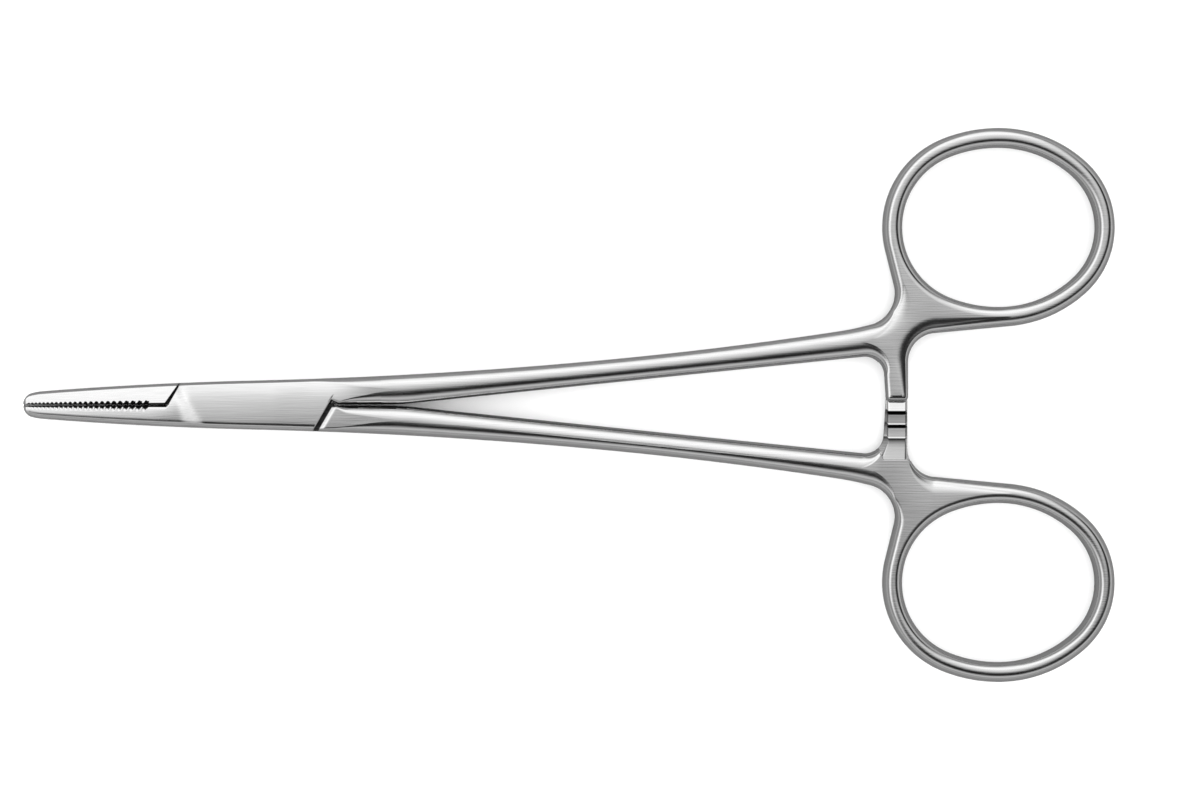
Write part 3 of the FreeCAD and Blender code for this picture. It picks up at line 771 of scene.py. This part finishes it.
def brushed(name, shade, roughness, spread, grain):
    """Stainless steel brushed along the length.

    Fine long streaks change its tone and relief, and clouds its gloss. A painted shade and highlight kept on
    the mesh multiplies the tone.
    """
    material = bpy.data.materials.new(name)
    material.use_nodes = True
    tree = material.node_tree
    shader = tree.nodes["Principled BSDF"]
    shader.inputs["Metallic"].default_value = 1.0
    place = tree.nodes.new("ShaderNodeTexCoord")
    stretch = tree.nodes.new("ShaderNodeMapping")
    stretch.inputs["Scale"].default_value = STREAKS_PER_METRE
    join(tree, place.outputs["Object"], stretch.inputs["Vector"])
    streaks = noise(tree, stretch.outputs[0], 1.0, 3.0)
    clouds = noise(tree, place.outputs["Object"], CLOUDS_PER_METRE, 2.0)
    rough = spread_over(tree, clouds, roughness - spread, roughness + spread)
    # The mesh's painted shade and highlight, which darken or brighten the tone.
    painted_light = tree.nodes.new("ShaderNodeAttribute")
    painted_light.attribute_name = "painted_light"
    tone = reckon(tree, "MULTIPLY", spread_over(tree, streaks, shade - STREAK_DARKER, shade + STREAK_LIGHTER),
                  painted_light.outputs["Fac"])
    colour = tree.nodes.new("ShaderNodeCombineColor")
    relief = tree.nodes.new("ShaderNodeBump")
    relief.inputs["Strength"].default_value = grain
    relief.inputs["Distance"].default_value = GRAIN_DEPTH
    join(tree, rough, shader.inputs["Roughness"], tone, colour.inputs[0], tone, colour.inputs[1],
         tone, colour.inputs[2], colour.outputs[0], shader.inputs["Base Color"],
         streaks, relief.inputs["Height"], relief.outputs[0], shader.inputs["Normal"])
    return material


def past_lock(u, v):
    """How far a point lies beyond the slanted line where the lock's level face ends."""
    return LOCK_FACE_U - LOCK_FACE_LEAN * v - u


def jaw_fall(past, v, bulge):
    """How far a jaw's face falls: by an even taper, and by w^2 / bulge with w the way from the ridge."""
    taper = (BOX_TOP - TIP_TOP) / (JAW_REACH + LOCK_FACE_U) * np.maximum(past, 0)
    return taper, np.minimum(v - RIDGE_V, JAW_RIDGE_REACH) ** 2 / bulge


def upper_jaw_top(u, v):
    """Height of the upper jaw's face."""
    taper, crowned = jaw_fall(past_lock(u, v), v, UPPER_JAW_BULGE)
    return BOX_TOP + UPPER_JAW_RISE - taper - crowned


def lock_top(u, v):
    """Height of the lock's face, down a slanted step to the lower jaw's, and bevelled at its seams.

    The step is an even-ended rise and fall of slope times width, and it widens towards the lower edge.
    """
    past = past_lock(u, v)
    taper, jaw_crown = jaw_fall(past, v, LOWER_JAW_BULGE)
    share = ease(-u, *LOWER_JAW_BLEND)
    crowned = crown(u, v) * (1 - share) + (jaw_crown - LOWER_JAW_RISE) * share
    width = LOCK_STEP_WIDTH + LOCK_STEP_SPREAD * np.clip(LOCK_STEP_V - v, 0, LOCK_STEP_REACH)
    step = LOCK_STEP_SLOPE * width * ease((past + LOCK_STEP_LEAD) / width, 0.0, 1.0)
    station = u - SEAM_SLOPE * v
    left = np.where(v > -MATE_GAP_ROOT, np.clip(1 - (station + JAW_SEAM) / SEAM_BEVEL, 0, 1), 0)
    right = np.where(v < SHANK_SEAM_V, np.clip(1 - (SHANK_SEAM - station) / SEAM_BEVEL, 0, 1), 0)
    return ridge_top(u) - step - taper - crowned - SEAM_FALL * (left + right)


def on_line(station, slant, side, edge):
    """The v at which the line u = station + slant v crosses an edge given as a function of u."""
    v = side * edge(station)
    for _ in range(20):
        v = side * edge(station + slant * v)
    return v


def quarter_round(way, reach):
    """A quarter circle's fall, 1 at its start and 0 from reach on: 1 - sqrt(1 - (1 - way / reach)^2)."""
    return 1 - np.sqrt(1 - np.clip(1 - way / reach, 0, 1) ** 2)


def serrated_gap(u, depth_share):
    """Half the gap between the jaws, wider at the root and round the noses.

    Half-round grooves cross it: depth sqrt(1 - (x / half)^2), x being the way from a groove's middle.
    """
    gap = np.interp(u, (-JAW_REACH, -JAW_SEAM), (MATE_GAP_TIP, MATE_GAP_ROOT))
    gap = gap + NOSE_GAP * quarter_round(u + JAW_REACH, NOSE_GAP_LENGTH)
    along = SERRATION_START - JAW_REACH
    for number in range(SERRATIONS):
        share = number / SERRATIONS
        pitch = SERRATION_PITCH[0] * (1 - share) + SERRATION_PITCH[1] * share
        depth = depth_share * (SERRATION_DEPTH[0] * (1 - share) + SERRATION_DEPTH[1] * share)
        gap = gap + depth * np.sqrt(np.maximum(1 - ((u - along) / (GROOVE_HALF_SHARE * pitch)) ** 2, 0))
        along += pitch
    return gap


def jaw(side, seam, seam_slope, outer_rim, mate_rim, groove_share):
    """A jaw, from its rounded nose to a seam that slants across it.

    The given share of the grooves' depth is cut as a wider rim, and the rest as a deeper mating edge.
    """
    nose = -JAW_REACH + NOSE_RADIUS * (1 - np.cos(np.radians(np.linspace(0, NOSE_SWEEP, 12))))
    teeth = np.arange(nose[-1] + GROOVE_STEP, -GROOVES_END_U, GROOVE_STEP)
    root = np.arange(teeth[-1] + JAW_STEP, -seam - LEAST_STEP, JAW_STEP)
    stations = np.concatenate((nose, teeth, root, [-seam]))
    slant = seam_slope * ease(stations, SLANT_START_U, -seam)
    outer = on_line(stations, slant, side, half_width)
    outer = outer - side * NOSE_ROUNDING * np.clip(1 - (stations + JAW_REACH) / NOSE_LENGTH, 0, 1) ** 2
    mate = on_line(stations, slant, side, lambda u: serrated_gap(u, 1 - groove_share))
    narrow = np.minimum(1, np.abs(outer - mate) / FULL_RIM_WIDTH)[:, None]
    wave = (serrated_gap(stations, 1.0) - serrated_gap(stations, 0.0))[:, None]
    mate_rim = scaled_rim(np.asarray(mate_rim) + groove_share * wave * [1, 1, 0, 0, 0], narrow)
    outer_rim = scaled_rim(outer_rim, narrow)
    fall = NOSE_FALL * quarter_round(stations + JAW_REACH, NOSE_FALL_LENGTH)
    closed = np.full(len(stations), side * CLOSED_V)
    if side > 0:
        return bar(stations, slant, mate, outer, mate_rim, outer_rim, upper_jaw_top, end_fall=fall,
                   middles=(closed, outer))
    return bar(stations, slant, outer, mate, outer_rim, mate_rim, lock_top, end_fall=fall,
               middles=(outer, closed))


def slab(outline, low, high):
    """Closed flat prism from an outline, between two heights."""
    outline = np.asarray(outline, float)
    count = len(outline)
    vertices = np.vstack([np.column_stack((outline, np.full(count, z))) for z in (low, high)])
    index = np.arange(count)
    ahead = np.roll(index, -1)
    faces = np.column_stack((index, ahead, ahead + count, index + count)).tolist()
    fill = filled([outline])
    faces += fill[:, ::-1].tolist() + (fill + count).tolist()
    return vertices, turned_out(vertices, faces)


def edge_run(first, last, side):
    """Points on the outer edge of the lock between two places along it."""
    u = np.linspace(first, last, 30)
    return np.column_stack((u, side * half_width(u)))


def cheek():
    """One cheek of the lock, from the slot to its crowned face, between its two slanted seams."""
    near = [0.0, 0.05, 0.1, SEAM_BEVEL]
    between = np.arange(-JAW_SEAM + 0.3, SHANK_SEAM - 0.2, CHEEK_STEP)
    stations = np.concatenate((np.add(-JAW_SEAM, near), between, np.subtract(SHANK_SEAM, near[::-1])))
    slant = np.full(len(stations), SEAM_SLOPE)
    low = on_line(stations, slant, -1, half_width)
    high = on_line(stations, slant, 1, half_width)
    rim = shank_rim(stations + slant * high)
    low_rim = np.tile(LOWER_RIM, (len(stations), 1))
    return bar(stations, slant, low, high, low_rim, rim, lock_top, floor=SLOT_TOP)


def shank_root(side, seam, start_fall):
    """The shank from a slanted seam at the lock to where its section is upright and round.

    Its face starts low by start_fall (1 - x / reach)^power, x being the way from the seam.
    """
    near = [0.0, 0.06, 0.14, 0.24, 0.36, 0.5]
    stations = np.concatenate((np.add(seam, near), np.linspace(seam + 0.7, ROOT_END, 36)))
    slant = SEAM_SLOPE * (1 - ease(stations, UPRIGHT_FROM_U, ROOT_END))
    outer = on_line(stations, slant, side, half_width)
    rim = shank_rim(stations + slant * outer)
    opening = SEAM_RIM_SHARE + (1 - SEAM_RIM_SHARE) * ease(stations, seam, FULL_RIM_U)[:, None]
    inner_rim = scaled_rim(shank_rim(stations), opening)
    fall = start_fall * np.clip(1 - (stations - seam) / SHOULDER_REACH, 0, 1) ** SHOULDER_POWER
    if side > 0:
        inner = np.interp(stations, (SHANK_SEAM, SEAM_END_U), (SHANK_SEAM_V, INNER_V))
        return bar(stations, slant, inner, outer, inner_rim, rim, box_top, end_fall=fall)
    inner = np.full(len(stations), -INNER_V)
    return bar(stations, slant, outer, inner, rim, inner_rim, box_top, end_fall=fall)


ARM_LEFT = ARM_U - ARM_WIDTH / 2
ARM_RIGHT = ARM_U + ARM_WIDTH / 2
ARM_ROOT = (ARM_LEFT - ARM_FLARE, inner_edge(ARM_LEFT - ARM_FLARE))
ARM_SIDE_V = -1.45
RING_ENDS = (-84.7, 194.0)
WEB_LEAN = 5.3
NECK_RING_HEADING = 104.0
SPLIT_ROUND = 40.0
ARM_ROUND = 2.6
WEB_ROUND = 4.0
NECK_ROUND = 4.4
LIP_ROUND = 0.6
# Rims, each with its reach, drop, fullness, fall reach and fall drop.
NO_RIM = (0.0, 0.0, 2.0, 0.0, 0.0)
LOWER_RIM = (0.62, 0.66, 1.35, 0.35, 0.04)
MATE_RIM = (0.12, 0.2, 2.0, 0.05, 0.0)
LOWER_MATE_RIM = (0.1, 0.2, 1.5, 0.3, 0.05)
RING_RIM = (ROUND_SHARE * RING_BAND, SHANK_TOP - WALL_LEFT, ROUND_FULLNESS, NO_FALL, 0.0)
ARM_LEFT_RIM = (0.36, 0.7, 1.35, 0.5, 0.06)
ARM_RIGHT_RIM = (0.42, 0.9, 1.35, 1.5, 0.28)
NECK_RIM = (0.5, 0.9, 1.6, 2.3, 0.22)
PLAIN_NECK_RIM = (0.5, 0.9, 1.6, 0.3, 0.03)
WEB_RIM = (0.75, 1.0, 1.5, 1.5, 0.27)
LIP_RIM = (0.38, 0.7, 1.6, 0.45, 0.07)
CORNER_RIM = (0.40, 0.8, 2.0, 0.05, 0.0)
ROOT_RIM = (0.42, 0.9, 1.8, 0.3, 0.06)
STEP_RIM = (0.12, 0.15, 2.0, 0.08, 0.0)


def arm_runs(arm_end, start, root, right_root, web):
    """The outline round an arm down to its end, with both lower corners rounded."""
    way = (arm_end - ARM_SIDE_V) * (ARM_ROOT[0] - ARM_LEFT) / (ARM_ROOT[1] - ARM_SIDE_V)
    near_left = (ARM_LEFT + way, arm_end)
    low_left = rounded_corner(root[-1], near_left, (ARM_RIGHT, arm_end), LIP_ROUND)
    low_right = rounded_corner(near_left, (ARM_RIGHT, arm_end), right_root, LIP_ROUND)
    return [
        along_shank(straight(start, root[0])),
        with_rim(root, shank_rim(root[0][0]), ARM_LEFT_RIM),
        with_rim(straight(root[-1], low_left[0]), ARM_LEFT_RIM, LIP_RIM),
        with_rim(low_left, LIP_RIM),
        with_rim(straight(low_left[-1], low_right[0]), LIP_RIM),
        with_rim(low_right, LIP_RIM),
        with_rim(straight(low_right[-1], web[0]), LIP_RIM, ARM_RIGHT_RIM),
        with_rim(web, ARM_RIGHT_RIM, WEB_RIM),
    ]


def step_runs(arm_end, start, root, web):
    """The outline where the arm stops at a straight step, because the other arm laps it there."""
    root = root[root[:, 0] < ARM_ROOT[0] - 0.5]
    web = web[web[:, 1] > arm_end + 0.1]
    left, right = (ARM_ROOT[0], arm_end), (ARM_RIGHT, arm_end)
    return [
        with_rim(straight(start, root[0]), shank_rim(start[0]), shank_rim(root[0][0])),
        with_rim(root, shank_rim(root[0][0]), ROOT_RIM),
        with_rim(straight(root[-1], left), STEP_RIM),
        with_rim(straight(left, right), STEP_RIM),
        with_rim(straight(right, web[0]), STEP_RIM, CORNER_RIM),
        with_rim(web, CORNER_RIM, WEB_RIM),
    ]


def neck_runs(touch, neck_rim):
    """The outline from the ring round the neck, then back along the shank's outer edge to its root."""
    start = SHANK_RUNS[-1][-1]
    corner = crossing(start, NECK_HEADING, touch, NECK_RING_HEADING)
    neck = rounded_corner(touch, corner, start, NECK_ROUND)
    middle = len(neck) // 2
    outer = np.vstack((SHANK_RUNS[0], SHANK_RUNS[1][1:], SHANK_RUNS[2][1:]))[::-1]
    outer = outer[outer[:, 0] > ROOT_END + 0.01]
    end_rim = shank_rim(np.array(NECK_U))
    return [
        with_rim(straight(touch, neck[0]), RING_RIM),
        with_rim(neck[:middle + 1], RING_RIM, neck_rim),
        with_rim(neck[middle:], neck_rim, end_rim),
        with_rim(straight(neck[-1], start), end_rim),
        along_shank(np.vstack((outer, (ROOT_END, half_width(ROOT_END))))),
    ]


def limb_outline(arm_end, neck_rim):
    """The outline of shank, arm, ring and neck: a loop of runs, each with its rim, and the ring's opening."""
    outer_arcs = ring_arcs(RING_BAND, *RING_ENDS)
    touch = outer_arcs[0][0]
    right_root = (ARM_RIGHT, touch[1] - (touch[0] - ARM_RIGHT) * math.tan(math.radians(WEB_LEAN)))
    split = rounded_corner((ROOT_END, INNER_V), (SPLIT_U, INNER_V), ARM_ROOT, SPLIT_ROUND)
    root = rounded_corner((SPLIT_U, INNER_V), ARM_ROOT, (ARM_LEFT, ARM_SIDE_V), ARM_ROUND)
    web = rounded_corner((ARM_RIGHT, arm_end), right_root, touch, WEB_ROUND)
    cut = np.array([(ROOT_END, half_width(ROOT_END)), (ROOT_END, INNER_V)])
    parts = [with_rim(cut, NO_RIM), along_shank(straight(cut[1], split[0])), along_shank(split)]
    if arm_end < LAP_REACH / 2:
        parts += arm_runs(arm_end, split[-1], root, right_root, web)
    else:
        parts += step_runs(arm_end, split[-1], root, web)
    parts.append(with_rim(straight(web[-1], touch), WEB_RIM, RING_RIM))
    parts += [with_rim(arc, RING_RIM) for arc in outer_arcs]
    parts += neck_runs(outer_arcs[-1][-1], neck_rim)
    opening = [with_rim(arc[::-1], RING_RIM) for arc in ring_arcs(0.0, -90, 270)[::-1]]
    return [parts, opening]


def box_painted_shade(centres, normals):
    """The walls of the slot, the seams and the lower jaw's grooves, which take the near-black painted shade.
    """
    u, v, z = centres.T
    slot = (np.abs(z) < SLOT_TOP + 0.01) & (np.abs(v) < half_width(u) - 0.3) & (np.abs(u) < SLOT_END_U)
    split = (np.abs(v) < SPLIT_V) & (normals[:, 1] < -0.7) & (u > SPLIT_FROM_U) & (u < SPLIT_U + 1)
    mate = (u < 1 - JAW_SEAM) & (v > -MATE_V) & (normals[:, 1] > 0.3) & (np.abs(normals[:, 2]) < 0.5)
    return slot | split | mate


def build_box_half():
    """All of the box half in one object."""
    lower_wall = np.vstack((LOWER_WALL, edge_run(*LOWER_WALL_EDGE, -1)))
    upper_wall = np.vstack((UPPER_WALL, edge_run(*UPPER_WALL_EDGE, 1)))
    face = cheek()
    shells = [
        jaw(-1, JAW_SEAM, SEAM_SLOPE, LOWER_RIM, LOWER_MATE_RIM, GROOVES_IN_RIM),
        face,
        mirrored_z(face),
        slab(lower_wall, -SLOT_TOP, SLOT_TOP),
        slab(upper_wall, -SLOT_TOP, SLOT_TOP),
        shank_root(1, SHANK_SEAM, 0.0),
        plate(limb_outline(UPPER_ARM_END, NECK_RIM), LAP_LEVEL, 1),
        plate(limb_outline(LAP_REACH, NECK_RIM), LAP_LEVEL, -1),
    ]
    return assemble("box_half_forging", shells, box_painted_shade)


satin = brushed("satin_steel", shade=0.72, roughness=0.11, spread=0.025, grain=0.3)
# A near-black steel laid on the slot, the split and the mating faces as painted shade for their gaps.
dark_painted_shade = brushed("painted_shade_steel", shade=0.06, roughness=0.5, spread=0.05, grain=0.25)
box_half = build_box_half()
box_half.data.materials.append(satin)
box_half.data.materials.append(dark_painted_shade)
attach(box_half, "box_body")
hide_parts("box_half")

# Tongue half: the other stainless forging, which passes through the box: the upper jaw, the thin
# tongue in the slot, and the lower shank with its ring and the arm that carries the teeth.

TONGUE_TOP = 0.75
TONGUE_V = 2.17
JAW_SHOULDER = 11.85
SHANK_SHOULDER = 11.45
STEP_U = 0.842
SHOULDER_SLOPE = 0.70
SHOULDER_FALL = 0.12
TONGUE_END_U = 12.0
TONGUE_BEND = SLOT_BEND - 0.15
TONGUE_LOWER_LEFT = [(-11.72, 0.22), (-JAW_SEAM, 0.0), (-TONGUE_BEND, -TONGUE_V), (STEP_U, -TONGUE_V)]
TONGUE_LOWER_EDGE = (1.83, 9.4)
TONGUE_UPPER_RIGHT = [(SHANK_SHOULDER, 0.0), (TONGUE_BEND, TONGUE_V), (-STEP_U, TONGUE_V)]
TONGUE_UPPER_EDGE = (-1.83, -10.15)
LAP_CLEARANCE = 0.2
LOWER_ARM_END = 2.74
TOOTH_PITCH = 1.88
TOOTH_HEIGHT = 0.55
TOOTH_CREST = 0.225
TOOTH_ROUND = 0.32
LAND_FLARE = 0.9
FIRST_TOOTH = 1.03
TEETH = 4
TEETH_LEFT = ARM_LEFT + 0.06
TEETH_RIGHT = ARM_RIGHT - 0.04
GENTLE_SLOPE = 0.10
GENTLE_FALL = 0.18
STEEP_START = 1.2
STEEP_LENGTH = 0.56
TOOTH_BACK = [(0.06, 0.16), (0.12, 0.3)]
TOOTH_FOOT = 0.7
LAND_START = 0.11
LAND_LENGTH = 2.75
LAND_LIFT = 0.02
LAND_RISE = 0.2
LAND_POWER = 1.5
FLARE_START = 5.1
FLARE_LENGTH = 2.3
# Painted shade and highlight on the teeth: the peak of each tooth's colour (the first a painted highlight),
# the painted highlight along each crest and its width, and how far each crest's painted shadow reaches.
TOOTH_PAINTED_LIGHT = (1.3, 0.5, 0.7, 0.85)
CREST_PAINTED_HIGHLIGHT = 1.3
CREST_LINE = 0.17
SHADOW_REACH = 0.6


def side_fall(u):
    """How far the teeth are rounded down towards the two sides of the arm: a quarter circle at each."""
    return TOOTH_ROUND * quarter_round(np.minimum(u - TEETH_LEFT, TEETH_RIGHT - u), TOOTH_ROUND)


def across_arm(profile):
    """Closed bar with a profile of v and z, carried across the arm and rounded down at both sides."""
    inward = TOOTH_ROUND * (1 - np.cos(np.radians(np.linspace(0, 90, 8))))
    stations = np.concatenate((TEETH_LEFT + inward, TEETH_RIGHT - inward[::-1]))
    sections = []
    for u, fall in zip(stations, side_fall(stations)):
        v = profile[:, 0] + fall
        sections.append(np.column_stack((np.full(len(v), u), v, profile[:, 1] - fall)))
    return loft(np.array(sections))


def tooth(crest):
    """A ratchet tooth: steep out of its root, then gently up to its crest, and steep down past it.

    With x the way from the crest, its height falls by slope x, and past the start of its root also by
    the rest of its height times ((x - start) / length)^2.
    """
    way = np.linspace(TOOTH_PITCH - TOOTH_BACK[-1][0], 0, 22)
    steep = np.clip((way - STEEP_START) / STEEP_LENGTH, 0, 1) ** 2
    z = TOOTH_CREST - GENTLE_SLOPE * way - (TOOTH_HEIGHT - GENTLE_FALL) * steep
    back = [(crest - past, TOOTH_CREST - fall) for past, fall in TOOTH_BACK]
    foot = [(back[-1][0], -TOOTH_FOOT), (crest + way[0], -TOOTH_FOOT)]
    return across_arm(np.vstack((np.column_stack((crest + way, z)), back, foot)))


def root_land():
    """The ground flat from the last tooth to the step where the arm is full again; it flares to the left.

    It rises by rise s^power, with s the share of its length.
    """
    share = np.linspace(0, 1, 22)
    v = FIRST_TOOTH - (TEETH - 1) * TOOTH_PITCH - LAND_START - LAND_LENGTH * share
    z = LAND_LIFT - LAP_LEVEL + LAND_RISE * share ** LAND_POWER
    foot = [(v[-1], -TOOTH_FOOT), (v[0], -TOOTH_FOOT)]
    vertices, faces = across_arm(np.vstack((np.column_stack((v, z)), foot)))
    flare = LAND_FLARE * np.clip((-FLARE_START - vertices[:, 1]) / FLARE_LENGTH, 0, 1)
    vertices[:, 0] -= flare * (TEETH_RIGHT - vertices[:, 0]) / (TEETH_RIGHT - TEETH_LEFT)
    return vertices, faces


def tooth_painted_light(points):
    """Painted shade and highlight on the teeth: each is darkened by a painted shadow of the crest before it.

    It is peak (1 - exp(-(d / reach)^1.5)) with d the way down the arm from that crest. The first tooth
    and a line along each other crest get a painted highlight throughout.
    """
    u, v, z = points.T
    down = FIRST_TOOTH - v + side_fall(u)
    number = np.clip(np.floor(down / TOOTH_PITCH + 1e-3), 0, TEETH - 1).astype(int)
    below = np.maximum(down - number * TOOTH_PITCH, 0)
    painted_brightness = np.take(TOOTH_PAINTED_LIGHT, number) * (1 - np.exp(-(below / SHADOW_REACH) ** 1.5))
    painted_brightness = np.where((number < TEETH - 1) & (below > TOOTH_PITCH - CREST_LINE), CREST_PAINTED_HIGHLIGHT, painted_brightness)
    painted_brightness = np.where(number == 0, CREST_PAINTED_HIGHLIGHT, painted_brightness)
    on_arm = (u > TEETH_LEFT - LAND_FLARE) & (u < TEETH_RIGHT + 0.01)
    on_teeth = (down > 0) & (v > -LAP_REACH) & (np.abs(z) < TOOTH_FOOT + 0.02)
    return np.where(on_arm & on_teeth, painted_brightness, 1.0)


def tongue_painted_shade(centres, normals):
    """The tongue, the wall of the split and the upper jaw's grooved mating face, which take the painted
    shade.
    """
    u, v, z = centres.T
    tongue = (np.abs(z) < TONGUE_TOP + 0.01) & (np.abs(u) < TONGUE_END_U) & (np.abs(v) < half_width(u) - 0.02)
    split = (np.abs(v) < SPLIT_V) & (normals[:, 1] > 0.7) & (u > SPLIT_FROM_U) & (u < SPLIT_U + 1)
    mate = (u < 1 - JAW_SEAM) & (v < MATE_V) & (normals[:, 1] < -0.3) & (np.abs(normals[:, 2]) < 0.97)
    return tongue | split | mate


def build_tongue_half():
    """All of the tongue half in one object."""
    tongue = np.vstack((TONGUE_LOWER_LEFT, edge_run(*TONGUE_LOWER_EDGE, -1),
                        TONGUE_UPPER_RIGHT, edge_run(*TONGUE_UPPER_EDGE, 1)))
    shells = [
        jaw(1, JAW_SHOULDER, SHOULDER_SLOPE, NARROW_RIM, MATE_RIM, 0.0),
        slab(tongue, -TONGUE_TOP, TONGUE_TOP),
        shank_root(-1, SHANK_SHOULDER, SHOULDER_FALL),
        mirrored_v(plate(limb_outline(LAP_REACH - LAP_CLEARANCE, PLAIN_NECK_RIM), -LAP_LEVEL, 1)),
        mirrored_v(plate(limb_outline(-LOWER_ARM_END, PLAIN_NECK_RIM), -LAP_LEVEL, -1)),
    ]
    for number in range(TEETH):
        shells.append(tooth(FIRST_TOOTH - number * TOOTH_PITCH))
    shells.append(root_land())
    return assemble("tongue_half_forging", shells, tongue_painted_shade, tooth_painted_light)


tongue_half = build_tongue_half()
tongue_half.data.materials.append(satin)
tongue_half.data.materials.append(dark_painted_shade)
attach(tongue_half, "tongue_body")
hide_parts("tongue_half")

# Rivet: a stainless pin through both cheeks and the tongue, peened into its countersinks and ground
# flush, so that the grinding and brushing of the cheeks run over its ends and hide them.

RIVET = [(0.0, -1.96), (1.6, -1.96), (1.25, -1.61), (1.25, 1.61), (1.6, 1.96), (0.0, 1.96)]


def build_rivet():
    """The pin, turned from half its section about the pivot's axis."""
    angle = np.radians(np.linspace(0, 360, 49))[:-1]
    sections = np.array([[(r * math.cos(a), r * math.sin(a), z) for r, z in RIVET[1:-1]] for a in angle])
    index = np.arange(sections.shape[0] * 4).reshape(-1, 4)
    ahead = np.roll(index, -1, axis=0)
    faces = []
    for k in range(3):
        faces += np.column_stack((index[:, k], ahead[:, k], ahead[:, k + 1], index[:, k + 1])).tolist()
    faces += [index[::-1, 0].tolist(), index[:, 3].tolist()]
    vertices = sections.reshape(-1, 3)
    return assemble("rivet", [(vertices, turned_out(vertices, faces))])


rivet = build_rivet()
rivet.data.materials.append(brushed("pivot_steel", shade=0.70, roughness=0.22, spread=0.04, grain=0.2))
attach(rivet, "box_body")
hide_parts("pivot_pin")
